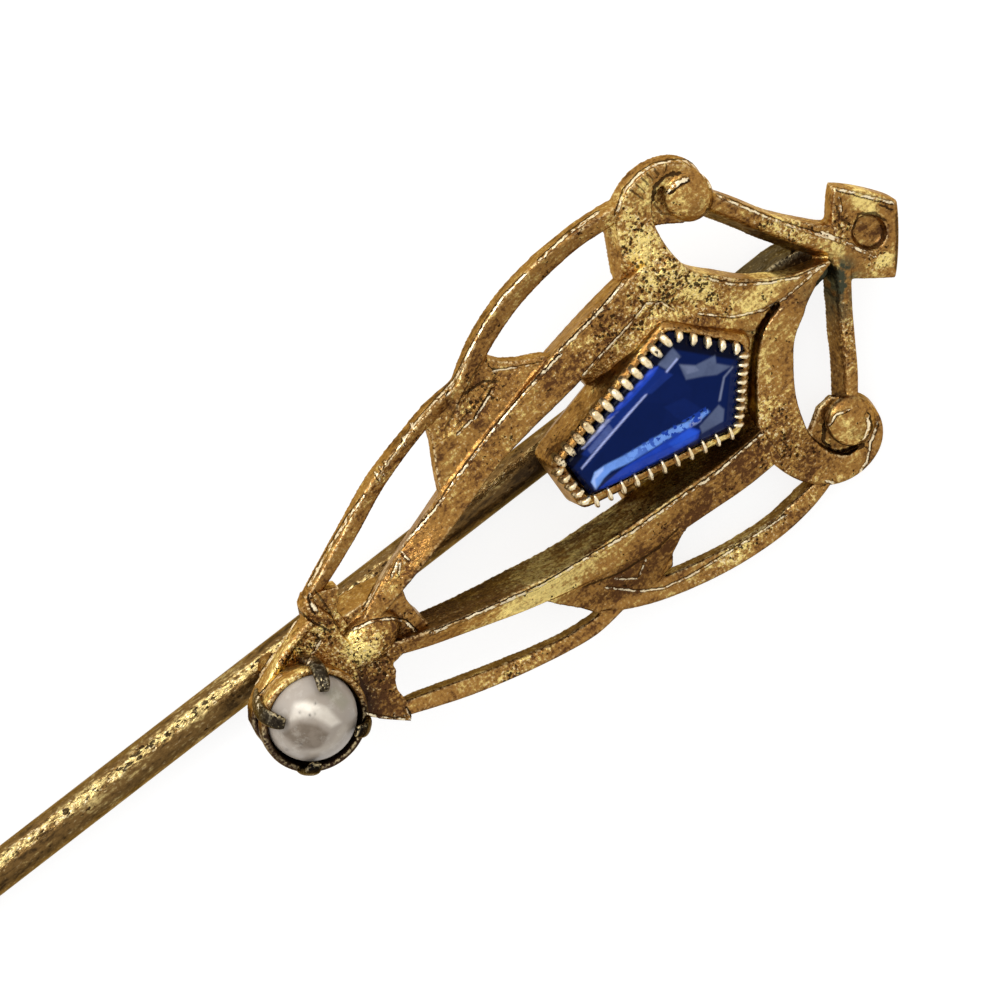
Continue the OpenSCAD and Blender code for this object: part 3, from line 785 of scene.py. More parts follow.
# Painted lines as they are seen: bright ones are painted highlights on crests and ridges, and dark ones are
# cut lines and painted shadows. Columns: the level they are measured at, half of their width, their shade,
# and their corners along and to the left. Bright ones have painted shade on both sides, and the side on the
# left of their course is the darker one.
STROKES = [
    (1.4, 0.035, 1, [
        (8.67, 4.73), (9.2, 5.13), (9.7, 5.22), (10.15, 5.18), (10.54, 4.96), (10.83, 4.73), (10.99, 4.35),
        (11, 3.97), (10.94, 3.69),
    ]),
    (1.4, 0.055, -1, [(9.63, 4.45), (9.84, 4.66), (10.08, 4.73), (10.33, 4.69), (10.5, 4.55)]),
    (1.4, 0.055, 1.3, [(10.54, 4.31), (10.3, 4.37), (10.08, 4.34)]),
    (1.4, 0.025, -0.8, [(9.3, 4.98), (9.4, 4.6)]),
    (1.4, 0.02, -0.8, [(9.48, 5.05), (9.55, 4.72)]),
    (1.4, 0.025, -0.8, [(9.68, 5.08), (9.72, 4.85)]),
    (1.4, 0.02, -0.8, [(9.86, 5.1), (9.9, 4.86)]),
    (1.4, 0.03, -0.8, [(10.08, 5.05), (10.06, 4.88)]),
    (1.4, 0.025, -0.8, [(10.38, 4.98), (10.3, 4.85)]),
    (1.4, 0.025, -0.6, [(9.6, 4.3), (9.62, 3.95), (9.85, 3.75)]),
    (1.35, 0.03, 1, [(10.95, -4.5), (10.6, -4.75), (10.2, -5.15), (9.75, -5.35), (9.3, -5.2), (9.1, -4.9)]),
    (1.35, 0.05, -1, [(9.9, -3.56), (9.64, -3.95), (9.67, -4.35), (9.95, -4.66), (10.35, -4.7)]),
    (1.35, 0.045, 1.2, [(10.86, -4.1), (10.74, -4.42), (10.42, -4.6)]),
    (1.35, 0.025, 1, [(10.55, -3.66), (10.25, -3.55), (9.95, -3.66)]),
    (1.35, 0.032, 1, [
        (11, 3.4), (11.2, 3), (11.55, 2.3), (11.9, 1.7), (12.3, 1.1), (12.9, 0.2), (13.25, -0.5),
    ]),
    (1.2, 0.03, 1.2, [(14.46, 0.16), (13.56, 1.38)]),
    (1.2, 0.035, -0.8, [(13.62, -1.38), (14.05, -0.74), (14.42, -0.16)]),
    (1.2, 0.03, -1, [(14.2, 0.3), (14.36, 0.02)]),
    (1.35, 0.03, 1, [(13.35, -0.65), (13.05, -0.05), (12.62, 0.78)]),
    (1.2, 0.03, -0.8, [(13.28, 1.05), (13.16, 0.7), (13.3, 0.4)]),
    (1.2, 0.025, 0.9, [(13.44, 1.15), (13.3, 0.85)]),
    (1.2, 0.035, -0.9, [(13.34, 0.26), (13.62, 0.48), (13.96, 0.25), (14.08, -0.12)]),
    (2.5, 0.03, 1, [(-2.17, 0.89), (-0.92, 1.55), (0.7, 1.88), (1.53, 2.19)]),
    (1.9, 0.035, 1.1, [(1.4, 1.82), (2.3, 2.1), (3.11, 2.35), (4.17, 2.6), (5.42, 2.82)]),
    (1.9, 0.035, 1.2, [(5.55, 2.92), (6.98, 3.14), (7.86, 3.385)]),
    (1.9, 0.025, 0.9, [(5.63, 2), (6.5, 2.18), (7.32, 2.32), (7.94, 2.5), (8.29, 2.25), (8.4, 1.93)]),
    (1.9, 0.03, 1.2, [(2.85, 2.89), (3.62, 3.21)]),
    (1.9, 0.025, 1, [(2.25, 2.83), (2.7, 2.9)]),
    (1.9, 0.035, -1, [(3.02, 3.6), (3.52, 3.58), (3.81, 3.35)]),
    (1.9, 0.025, -0.7, [(2.09, 3.17), (3.02, 3.67), (3.76, 4.02)]),
    (1.9, 0.022, -0.7, [(2.35, 3.05), (3.1, 3.2), (3.9, 3.5)]),
    (1.9, 0.022, 0.8, [(3.92, 3.62), (4.5, 3.25), (4.95, 2.98)]),
    (1.9, 0.03, 1.1, [(2.64, 3.88), (3.81, 4.52), (4.56, 4.87), (5.18, 5.09), (5.93, 5.2)]),
    (1.9, 0.032, 1.3, [(6.45, 5.28), (7.43, 5.38), (8.31, 5.34)]),
    (1.9, 0.032, 1.2, [
        (-1.22, -1.13), (0.29, -1.57), (1.63, -1.95), (2.97, -2.13), (4.38, -2.35), (5.56, -2.4),
        (6.9, -2.49), (8.37, -2.4),
    ]),
    (1.9, 0.025, 0.9, [
        (3, -3.15), (3.64, -3.82), (4.19, -4.17), (4.98, -4.37), (6.3, -4.52), (7.73, -4.66),
    ]),
    (1.9, 0.03, -0.9, [(2.6, -2.75), (3.5, -3.05), (4.6, -3.15), (5.3, -3.05)]),
    (1.9, 0.022, 0.8, [(3.3, -3.1), (3.8, -3.5), (4.2, -3.2)]),
    (1.5, 0.025, 1, [(12, 0.11), (10.9, 0.03), (10.26, 0.15), (9.55, 0.507), (8.9, 1.15)]),
    (1.5, 0.028, 1, [(9.52, 1.86), (10.02, 1.22), (10.74, 0.665), (11.45, 0.27), (12.15, 0.09)]),
    (2.3, 0.032, 1.1, [(-2.92, 2.25), (-1.9, 2.76), (-1.13, 3.09), (-0.53, 3.27)]),
    (2.3, 0.028, 1, [(0.07, 3.45), (0.9, 3.75), (1.5, 3.99), (2.28, 4.16), (3, 4.3)]),
    (2.3, 0.025, 1, [(0.02, 3.38), (0.05, 3.6)]),
    (2.3, 0.025, 1, [(0.19, 3.42), (0.22, 3.64)]),
    (2.3, 0.025, 1, [(0.35, 3.48), (0.38, 3.7)]),
    (2.3, 0.025, 1, [(1.06, 3.7), (1.1, 3.9)]),
    (2.3, 0.025, 1, [(1.44, 3.86), (1.48, 4.05)]),
    (2.5, 0.025, 0.9, [(-1.15, 1.15), (-0.8, 1.38)]),
    (2.5, 0.022, 0.9, [(-0.98, 1.08), (-0.78, 1.3)]),
    (2.5, 0.025, 0.9, [(-0.6, 1.22), (-0.6, 1.48)]),
    (2.5, 0.028, 1, [(-5.66, 1.02), (-4.6, 1.44), (-3.7, 1.8)]),
    (2.5, 0.028, 1, [(-5.8, 0.5), (-5.67, 0.74), (-4.83, 0.86)]),
    (2.5, 0.028, 1, [(-4.16, 0.65), (-3.5, 0.93)]),
    (2.5, 0.045, 1.2, [(-3.2, 1.66), (-3.07, 2.08)]),
    (2.5, 0.03, -1, [(-3.52, 2.15), (-3.45, 1.6), (-3.22, 1)]),
    (2.5, 0.025, -0.8, [(-2.9, 2.1), (-2.9, 1.5), (-3, 0.9)]),
    (2.5, 0.028, 1.1, [(-2.7, 0.62), (-2.2, 0.47), (-1.8, 0.22), (-1.55, -0.1), (-1.5, -0.45)]),
    (2.5, 0.03, 1, [(-3.7, -1.5), (-3.3, -2), (-2.95, -2.33)]),
    (2.5, 0.035, 1.2, [(-2.86, -2.05), (-2.9, -2.33)]),
]
# Height of the top of the head at places along it
TOP_PLACES, TOP_HEIGHTS = (-3, 3, 7.5, 9, 14), (2.55, 2.4, 2.0, 1.6, 1.25)


def spots(x, y, chart):
    """Sum of the soft spots of a chart."""
    return sum(v * np.exp(-(((x - a) / c) ** 2) - ((y - b) / d) ** 2) for a, b, c, d, v in chart)


def nearest_stroke(points):
    """How far each point as seen is from the nearest stroke, in half widths, and the shade of that stroke."""
    x = points[:, 0]
    seen = points[:, 1] - points[:, 2] * VIEW_SLOPE
    nearest = np.full(len(x), 9.0)
    signed = np.full(len(x), 9.0)
    shade = np.zeros(len(x))
    for level, half, tone_and_light, corners in STROKES:
        ends = [(a, b - level * VIEW_SLOPE) for a, b in corners]
        for (ax, ay), (bx, by) in zip(ends, ends[1:]):
            dx, dy = bx - ax, by - ay
            reach = 4 * half
            box = (x > min(ax, bx) - reach) & (x < max(ax, bx) + reach)
            box &= (seen > min(ay, by) - reach) & (seen < max(ay, by) + reach)
            index = np.nonzero(box)[0]
            px, py = x[index] - ax, seen[index] - ay
            t = np.clip((px * dx + py * dy) / (dx * dx + dy * dy), 0, 1)
            distance = np.hypot(px - t * dx, py - t * dy) / half
            closer = distance < nearest[index]
            index, distance = index[closer], distance[closer]
            nearest[index] = distance
            signed[index] = distance * np.sign(dx * py - dy * px)[closer]
            shade[index] = tone_and_light
    return np.clip(signed, -4, 4), shade * (1 - smoothstep(1.9, 2.8, nearest))


def shade_metal(obj, grain):
    """Keeps where the metal is worn, dirty, bright or tarnished as attributes, then places the piece.

    The bend of the surface is measured over the length of the grain.
    """
    mesh = obj.data
    points, normals, edges = mesh_arrays(mesh)
    x, y, z = points.T
    left = normals[:, 1]
    bend = np.einsum("ij,ij->i", normals, points - neighbour_mean(edges, points)) / grain
    bend = blurred(edges, bend, 1)
    edge = smoothstep(0.04, 0.12, bend)
    corner = smoothstep(0.0, 0.10, -blurred(edges, bend, 14))
    depth = smoothstep(0.15, 1.0, np.interp(x, TOP_PLACES, TOP_HEIGHTS) - z)
    upright = 1 - smoothstep(0.45, 0.85, normals[:, 2])
    inward = smoothstep(0.1, 0.7, -left * np.sign(y)) * upright
    away = smoothstep(0.0, 0.6, -left) * upright
    # Dirt in hollow corners, with painted shade on walls that face inward and away from the light, in
    # recesses and on edges turned from the light
    dirt_and_painted_shade = 0.5 * corner + 0.8 * inward + 0.7 * away + 0.2 * depth + 0.7 * edge * smoothstep(0.1, 0.6, -left)
    signed, shade = nearest_stroke(points)
    # Worn edges, with a painted highlight on those that face the light from the left
    store(mesh, "wear_and_highlight", edge * smoothstep(-0.2, 0.4, left))
    store(mesh, "grime_and_shade", np.clip(np.clip(dirt_and_painted_shade, 0, 1) + spots(x, y, SOOT_AND_SHADE), 0, 1.6))
    store(mesh, "tone_and_light", spots(x, y, TONES_WITH_LIGHT))
    store(mesh, "pitted", spots(x, y, PITTED) * (1 - upright))
    store(mesh, "tarnish", spots(x, y, TARNISH))
    store(mesh, "stroke", signed)
    # Shade of the painted lines, faded on faces turned from the view
    store(mesh, "highlight_and_cut", shade * smoothstep(0.0, 0.2, normals @ TOWARDS_VIEW))
    settle(mesh, points)


# Materials


class Graph:
    """The nodes of a material or of the world, with short ways to add to them."""

    def __init__(self, owner):
        owner.use_nodes = True
        self.owner = owner
        self.tree = owner.node_tree

    def join(self, value, socket):
        """Links an output to a socket, or sets the socket to a number or a colour."""
        if isinstance(value, bpy.types.NodeSocket):
            self.tree.links.new(value, socket)
        else:
            socket.default_value = (*value, 1.0) if socket.type == "RGBA" else value

    def node(self, kind, inputs=None, **settings):
        """Adds a node and gives its outputs."""
        made = self.tree.nodes.new("ShaderNode" + kind)
        for key, value in settings.items():
            setattr(made, key, value)
        for key, value in (inputs or {}).items():
            self.join(value, made.inputs[key])
        return made.outputs

    def attribute(self, name, output="Fac"):
        """What the points of the mesh keep under a name."""
        return self.node("Attribute", attribute_name=name)[output]

    def noise(self, where, per_mm, detail=4.0, roughness=0.55, output="Fac"):
        """Noise with so many waves in a millimetre."""
        inputs = {"Vector": where, "Scale": per_mm / MM, "Detail": detail, "Roughness": roughness}
        return self.node("TexNoise", inputs)[output]

    def stretched(self, where, share):
        """Places that are drawn out along the pin."""
        return self.node("Mapping", {"Vector": where, "Scale": (share, 1, 1)})[0]

    def span(self, value, low, high, to_low=0.0, to_high=1.0):
        """Carries a value over from one range to another, smoothly."""
        inputs = {"Value": value, "From Min": low, "From Max": high, "To Min": to_low, "To Max": to_high}
        return self.node("MapRange", inputs, interpolation_type="SMOOTHSTEP")["Result"]

    def maths(self, operation, *inputs, **settings):
        return self.node("Math", dict(enumerate(inputs)), operation=operation, **settings)[0]

    def plus(self, a, b):
        return self.maths("ADD", a, b)

    def times(self, a, b, **settings):
        return self.maths("MULTIPLY", a, b, **settings)

    def larger(self, a, b):
        return self.maths("MAXIMUM", a, b)

    def mix(self, factor, a, b):
        return self.node("Mix", {"Factor": factor, 6: a, 7: b}, data_type="RGBA")[2]

    def bump(self, height, strength, distance):
        inputs = {"Height": height, "Strength": strength, "Distance": distance * MM}
        return self.node("Bump", inputs)["Normal"]

    def coated(self, sockets):
        """The finished material, with the sockets of its shader joined to values."""
        shader = self.tree.nodes["Principled BSDF"]
        for name, value in sockets.items():
            self.join(value, shader.inputs[name])
        return self.owner


def pits(g, where, pitted):
    """Small ragged holes, which crowd where the casting is rough."""
    ragged = {0: g.noise(where, 14.0, 2.0, 0.5, "Color"), "Scale": 0.12 * MM}
    bend = g.node("VectorMath", ragged, operation="SCALE")[0]
    moved = g.node("VectorMath", {0: where, 1: bend}, operation="ADD")[0]
    distance = g.node("TexVoronoi", {"Vector": moved, "Scale": 8.5 / MM, "Randomness": 1.0})["Distance"]
    crowd = g.plus(g.noise(where, 2.0, 4, 0.65), g.times(pitted, 0.16))
    return g.maths("LESS_THAN", distance, g.span(crowd, 0.50, 0.74, 0.0, 0.44))


def strokes(g, where):
    """How bright the painted highlights on the crests of the strokes are, and how dark the cuts and the
    painted shade along the sides of the crests.
    """
    highlight_and_cut = g.attribute("highlight_and_cut")
    sway = g.times(g.plus(g.noise(where, 8.0, 3), -0.5), 3.4)
    place_across = g.plus(g.attribute("stroke"), sway)
    middle = g.span(g.maths("ABSOLUTE", place_across), 0.75, 1.15, 1.0, 0.0)
    left_side = g.times(g.span(place_across, 0.8, 1.2), g.span(place_across, 1.9, 2.6, 1.0, 0.0))
    right_side = g.times(g.span(place_across, -1.2, -0.8, 1.0, 0.0), g.span(place_across, -2.2, -1.6))
    sides = g.plus(left_side, g.times(right_side, 0.45))
    raised = g.larger(highlight_and_cut, 0.0)
    cut = g.larger(g.times(highlight_and_cut, -1.0), 0.0)
    broken = g.span(g.noise(where, 5.5, 4, 0.65), 0.45, 0.54)
    lit = g.times(g.times(middle, raised), broken)
    shadow = g.larger(g.times(sides, raised), g.times(middle, cut))
    return g.times(lit, 0.95, use_clamp=True), g.times(shadow, 0.9, use_clamp=True)


# Colours that all kinds of the metal share, among them painted highlights, painted glints and painted shade
WORN_HIGHLIGHT, PAINTED_GLINT, CREST_HIGHLIGHT, SHEEN = (0.95, 0.76, 0.42), (0.95, 0.78, 0.44), (0.98, 0.84, 0.57), (0.80, 0.62, 0.40)
PIT_BROWN, CUT_AND_SHADE_BROWN, GREEN = (0.022, 0.010, 0.004), (0.028, 0.013, 0.005), (0.055, 0.058, 0.036)


def scaled(colour, *shares):
    """A colour times one share, or times a share for each of its parts."""
    return tuple(np.array(colour) * shares)


def metal(name, dark, middle, light, shine=1.0, stretch=1.0):
    """Aged metal in three tones, with pits, cut lines, worn edges and dirt in its corners, and painted
    glints, highlights and shade.
    """
    g = Graph(bpy.data.materials.new(name))
    where = g.node("TexCoord")["Object"]
    if stretch != 1.0:
        where = g.stretched(where, stretch)
    pitted = g.attribute("pitted")
    waves = g.noise(where, 0.8, 2)
    mottle = g.noise(where, 2.6)
    fine = g.noise(where, 12.0, 3, 0.6)
    streaks = g.noise(g.stretched(where, 0.22), 8.0, 3, 0.6)
    grain = g.times(g.plus(g.noise(where, 5.5, 3, 0.6), -0.5), g.plus(pitted, 0.15))

    level = g.maths("MULTIPLY_ADD", g.attribute("tone_and_light"), 0.20, 0.5)
    speckle = g.span(pitted, 0.0, 0.8, 0.55, 1.0)
    for part, share in ((mottle, 0.46), (waves, 0.34), (streaks, 0.45), (fine, speckle)):
        level = g.maths("MULTIPLY_ADD", g.plus(part, -0.5), share, level)
    level = g.plus(level, g.times(grain, 0.9))
    body = g.mix(g.span(level, 0.32, 0.54), dark, middle)
    body = g.mix(g.span(level, 0.55, 0.80), body, light)

    # Dirt and painted shade darken the body, less where the gilding is bright
    dirt_and_shade = g.times(g.attribute("grime_and_shade"), g.span(level, 0.30, 0.80, 0.95, 0.65))
    wear_and_highlight = g.times(g.attribute("wear_and_highlight"), g.span(fine, 0.44, 0.58, 0.0, 0.8))
    # Painted glints where this noise is high and dark specks where it is low, on lively gilding
    glint_and_speck = g.plus(g.noise(where, 14.0, 2, 0.5), g.times(pitted, 0.05))
    lively = g.times(g.span(pitted, 0.0, 0.6, 0.25, 0.85), g.span(level, 0.38, 0.60))
    tarnish = g.times(g.attribute("tarnish"), g.span(mottle, 0.35, 0.55))
    holes = pits(g, where, pitted)
    lit, shadow = strokes(g, where)
    # Layers over the body: dirt with painted shade, worn edges with painted highlights, painted glints, dark
    # specks, tarnish, pits, painted shade beside the lines and painted highlights on their crests
    for share, colour in (
        (dirt_and_shade, scaled(dark, 0.36, 0.45, 0.80)),
        (wear_and_highlight, scaled(WORN_HIGHLIGHT, shine)),
        (g.times(g.span(glint_and_speck, 0.62, 0.69), lively), scaled(PAINTED_GLINT, shine)),
        (g.times(g.span(glint_and_speck, 0.36, 0.45, 1.0, 0.0), lively), scaled(dark, 0.40)),
        (tarnish, GREEN),
        (g.times(holes, 0.92), PIT_BROWN),
        (shadow, CUT_AND_SHADE_BROWN),
        (lit, CREST_HIGHLIGHT),
    ):
        body = g.mix(share, body, colour)

    relief = g.times(waves, 1.4)
    for part, share in ((mottle, 0.6), (grain, 1.6), (fine, 0.12), (g.larger(holes, shadow), -0.6)):
        relief = g.plus(relief, g.times(part, share))
    return g.coated({
        "Base Color": body,
        "Roughness": g.span(mottle, 0.3, 0.7, 0.38, 0.27),
        "Metallic": 0.95,
        "Specular Tint": SHEEN,
        "Normal": g.bump(relief, 1.0, 0.07),
    })


def stone_material():
    """Painted facets and painted reflections under a clear polish."""
    g = Graph(bpy.data.materials.new("blue_stone_glass"))
    where = g.node("TexCoord")["Object"]
    flecks = g.times(g.attribute("fleck"), g.span(g.noise(where, 7.0, 3, 0.6), 0.50, 0.56))
    body = g.mix(flecks, g.attribute("seen", "Color"), (0.012, 0.05, 0.36))
    veil = g.span(g.noise(where, 2.4, 6, 0.72), 0.42, 0.62, 0.0, 0.18)
    body = g.mix(veil, body, (0.001, 0.006, 0.040))
    return g.coated({"Base Color": body, "Roughness": 0.06, "Specular IOR Level": 0.05})


def pearl_material():
    """Cloudy nacre with small painted glints."""
    g = Graph(bpy.data.materials.new("pearl_nacre"))
    where = g.node("TexCoord")["Object"]
    cloud = g.span(g.noise(where, 2.2, 6, 0.7), 0.38, 0.64, 0.0, 0.26)
    body = g.mix(cloud, g.attribute("seen", "Color"), (0.36, 0.30, 0.24))
    glint = g.span(g.noise(where, 3.5, 5, 0.7), 0.50, 0.66, 0.0, 0.16)
    body = g.mix(glint, body, (0.70, 0.66, 0.58))
    return g.coated({
        "Base Color": body,
        "Roughness": 0.35,
        "Specular IOR Level": 0.35,
        "Normal": g.bump(g.noise(where, 3.0, 3), 0.25, 0.05),
    })


# Half of the width of the floor, in metres
FLOOR_REACH = 3.0


def add_stage():
    """A pale floor under soft light that is brightest low on the left and darker overhead."""
    mesh = bpy.data.meshes.new("floor")
    corners = [(x * FLOOR_REACH, y * FLOOR_REACH, 0) for x, y in ((-1, -1), (1, -1), (1, 1), (-1, 1))]
    mesh.from_pydata(corners, [], [(0, 1, 2, 3)])
    floor = new_object("floor", mesh)
    pale = Graph(bpy.data.materials.new("pale_floor"))
    glow = {"Emission Color": (1, 1, 1), "Emission Strength": 0.82}
    mesh.materials.append(pale.coated({"Base Color": (0.25, 0.25, 0.25), "Roughness": 0.9, **glow}))

    studio = Graph(bpy.data.worlds.new("studio"))
    bpy.context.scene.world = studio.owner
    left = studio.node("SeparateXYZ", {"Vector": studio.node("TexCoord")["Generated"]})["Y"]
    level = studio.span(left, -1.0, -0.70, 0.45, 0.92)
    side = studio.span(left, 0.35, 0.85, 1.0, 1.6)
    background = studio.tree.nodes["Background"]
    studio.join(studio.times(level, side), background.inputs["Strength"])
    studio.join((1.0, 0.985, 0.965), background.inputs["Color"])

    lamp = bpy.data.lights.new("soft_key", "SUN")
    lamp.energy = 1.1
    lamp.angle = math.radians(30)
    key = new_object("soft_key", lamp)
    key.rotation_mode = "QUATERNION"
    key.rotation_quaternion = Vector((-0.35, 0.80, 0.70)).to_track_quat("Z", "Y")
    view = bpy.context.scene.view_settings
    view.view_transform = "Standard"
    view.look = "None"


# Patches of colour in the stone, its deep blue with painted reflections and the painted light and shade of
# its facets: colour, then corners along and to the left
NAVY, DEEP, ROYAL = (0.0015, 0.009, 0.068), (0.001, 0.002, 0.012), (0.013, 0.052, 0.44)
SKY_REFLECTION, SMOKE, PALE_REFLECTION = (0.15, 0.31, 0.80), (0.085, 0.11, 0.20), (0.40, 0.46, 0.80)
STONE_FACETS_AND_REFLECTIONS = [
    (NAVY, [(4.05, 0.5), (7.75, 1.45), (8.95, 0.05), (8, -1.3), (4.15, -0.55)]),
    ((0.005, 0.02, 0.15), [(4.4, 0.65), (5.5, 1), (7.2, 1.3), (7.4, 0.85), (6.5, 0.85), (4.5, 0.5)]),
    ((0.06, 0.09, 0.26), [(4.6, 0.66), (5.4, 0.86), (5.4, 0.66), (4.6, 0.5)]),
    ((0.002, 0.01, 0.075), [(6.3, 0.85), (7.5, 0.8), (7.6, 0.2), (7.1, -0.35), (6.3, -0.2), (6.9, 0.3)]),
    ((0.003, 0.013, 0.095), [(6.75, 0.3), (7.3, 0.15), (7.5, -0.4), (6.9, -0.35)]),
    (PALE_REFLECTION, [(4.5, 0.78), (5, 0.9), (5.5, 1.04), (5.9, 1.1), (5.9, 1.02), (5, 0.82), (4.55, 0.74)]),
    (ROYAL, [(5.4, 1.02), (6.5, 1.25), (7.1, 1.38), (7.25, 1.28), (7, 1.18), (6.2, 1.02), (5.5, 0.95)]),
    ((0.045, 0.1, 0.62), [(5.7, 1.08), (6.6, 1.27), (7.1, 1.36), (7.2, 1.29), (6.6, 1.2), (5.8, 1.04)]),
    (SMOKE, [(7.25, 1.34), (7.8, 1.46), (7.82, 1.12), (7.35, 1.08)]),
    (PALE_REFLECTION, [
        (4.2, 0.36), (5, 0.56), (5.9, 0.76), (6.6, 0.9), (6.6, 0.86), (5.9, 0.71), (5, 0.51), (4.2, 0.32),
    ]),
    ((0.008, 0.025, 0.17), [(6.5, 0.93), (7.3, 1.05), (7.4, 0.86), (6.7, 0.8)]),
    (PALE_REFLECTION, [(7.3, 1.05), (7.72, 1.16), (7.73, 1.11), (7.32, 1.01)]),
    (SMOKE, [
        (7.68, 0.98), (8, 0.68), (8.55, 0.56), (8.45, 0.36), (8.72, 0.04), (8.3, 0.1), (8, 0.3),
        (7.6, 0.52),
    ]),
    ((0.14, 0.17, 0.28), [(7.7, 0.94), (7.98, 0.66), (8, 0.5), (7.7, 0.62)]),
    ((0.18, 0.21, 0.33), [
        (8.74, 0.02), (8.4, -0.06), (8.1, -0.36), (7.95, -0.52), (8, -0.54), (8.15, -0.38), (8.42, -0.1),
        (8.75, -0.02),
    ]),
    (ROYAL, [
        (4.25, -0.4), (5, -0.36), (6, -0.48), (7, -0.6), (7.15, -0.85), (7, -1), (6.4, -0.9), (5.4, -0.7),
        (4.5, -0.56),
    ]),
    ((0.02, 0.085, 0.6), [(6.3, -0.6), (6.95, -0.62), (7.1, -0.85), (6.9, -0.96), (6.4, -0.84)]),
    (SKY_REFLECTION, [
        (4.2, -0.12), (4.4, 0.04), (4.7, 0.02), (5.2, -0.09), (6, -0.21), (6.6, -0.31), (7, -0.43),
        (7.6, -0.51), (7.6, -0.6), (7.2, -0.64), (6.6, -0.52), (5.8, -0.42), (5.2, -0.34), (4.75, -0.22),
        (4.5, -0.26), (4.2, -0.38),
    ]),
    ((0.35, 0.5, 0.92), [
        (4.2, -0.14), (4.4, 0.02), (4.65, 0), (4.6, -0.08), (4.3, -0.14), (4.22, -0.34), (4.18, -0.36),
    ]),
    (SMOKE, [(7.2, -0.75), (7.9, -0.6), (7.95, -0.8), (7.75, -1.05), (7.15, -0.95)]),
    ((0.2, 0.25, 0.5), [(7, -0.52), (7.4, -0.56), (7.3, -0.66), (7, -0.62)]),
]
FLECKED = [(4.9, 0.0), (7.7, -0.45), (7.6, -0.66), (6.8, -0.60), (5.0, -0.36)]
FLECKS_FROM, FLECKS_FULL = 4.7, 6.5
# Painted patches of light and shade on the pearl, its ground and tint, and its dark specks
PEARL_LIGHT_AND_SHADE = [
    ((0.44, 0.41, 0.385), [
        (-5.9, 0.2), (-5.2, 0.6), (-4.5, 0.55), (-3.9, 0.1), (-4.2, -0.1), (-5.2, -0.1),
    ]),
    ((0.17, 0.14, 0.11), [
        (-5.75, -0.45), (-5.2, -0.5), (-4.9, -0.85), (-4.8, -1.25), (-5.2, -1.45), (-5.6, -1.1),
    ]),
    ((0.74, 0.72, 0.68), [
        (-5.4, -0.3), (-5, 0.02), (-4.72, -0.15), (-4.45, -0.65), (-4.4, -1.2), (-4.65, -1.15),
        (-4.85, -0.6), (-5.15, -0.4),
    ]),
    ((1.05, 1.03, 0.98), [(-5.05, -0.08), (-4.78, -0.18), (-4.62, -0.48), (-4.85, -0.44)]),
    ((0.33, 0.315, 0.26), [(-4.3, -0.3), (-3.95, -0.3), (-3.9, -0.9), (-4.2, -1)]),
    ((0.46, 0.43, 0.39), [
        (-5.5, -1.45), (-4.9, -1.62), (-4.3, -1.45), (-4.4, -1.3), (-4.9, -1.5), (-5.4, -1.35),
    ]),
]
PEARL_GROUND, PEARL_TINT = (0.37, 0.34, 0.31), (0.84, 0.79, 0.72)
PEARL_SPECKS = [
    (-5.38, -0.55), (-5.05, -0.3), (-4.9, -0.52), (-4.78, -0.56), (-4.62, -0.36), (-5.5, -1), (-5.85, -0.9),
]
SPECK_R, SPECK_SHADE = 0.03, 0.8
# Levels that the patches of the stone and of the pearl are measured at, and how soft their edges are
STONE_SEEN, PEARL_SEEN = 2.62, 2.5
STONE_SOFT, PEARL_SOFT = 0.03, 0.08
# Height of the crown over the girdle, by the distance from the edge of the stone
CROWN_INSETS, CROWN_RISES = (-0.1, 0, 0.20, 0.42), (-0.30, 0, 0.16, 0.27)
# Rings of the pavilion: growth of the outline, then a rise or a level
PAVILION = [(-0.50, 0, 1.50), (-0.02, -0.05)]


def painted(x, y, ground, patches, soft):
    """Colours of points where patches lie on a ground."""
    colours = np.tile(np.array(ground, float), (len(x), 1))
    for colour, corners in patches:
        weight = smoothstep(-soft, soft, signed_distance(x, y, corners))
        colours += weight[:, None] * (np.array(colour) - colours)
    return colours


def stone(step=0.03):
    """Crown of the stone as a fine grid whose height follows the steps of the cut, over a plain pavilion."""
    xs = np.arange(STONE_X, STONE_TIP + step, step)
    ys = np.arange(-STONE_W / 2, STONE_W / 2 + step, step)
    x, y = (grid.ravel() for grid in np.meshgrid(xs, ys, indexing="ij"))
    inset = signed_distance(x, y, kite(0))
    kept = inset > -1.5 * step
    z = girdle_z(x) + np.interp(inset, CROWN_INSETS, CROWN_RISES)
    number = np.full(len(x), -1)
    number[kept] = np.arange(kept.sum())
    number = number.reshape(len(xs), len(ys))
    faces = []
    for i in range(len(xs) - 1):
        for j in range(len(ys) - 1):
            quad = (number[i, j], number[i + 1, j], number[i + 1, j + 1], number[i, j + 1])
            if min(quad) >= 0:
                faces.append(tuple(int(k) for k in quad))
    shells = Shells()
    shells.add(np.stack([x, y, z], axis=1)[kept], faces)
    shells.rings([kite_ring(*row) for row in PAVILION])
    obj = as_object(shells, "stone")
    points = np.array(shells.points)
    x, y = points[:, 0], points[:, 1] - (points[:, 2] - STONE_SEEN) * VIEW_SLOPE
    flecked = smoothstep(-STONE_SOFT, STONE_SOFT, signed_distance(x, y, FLECKED))
    # Painted facets and reflections, placed as the stone is seen
    store_colour(obj.data, "seen", painted(x, y, DEEP, STONE_FACETS_AND_REFLECTIONS, STONE_SOFT))
    store(obj.data, "fleck", flecked * smoothstep(FLECKS_FROM, FLECKS_FULL, x))
    settle(obj.data, points)
    return obj


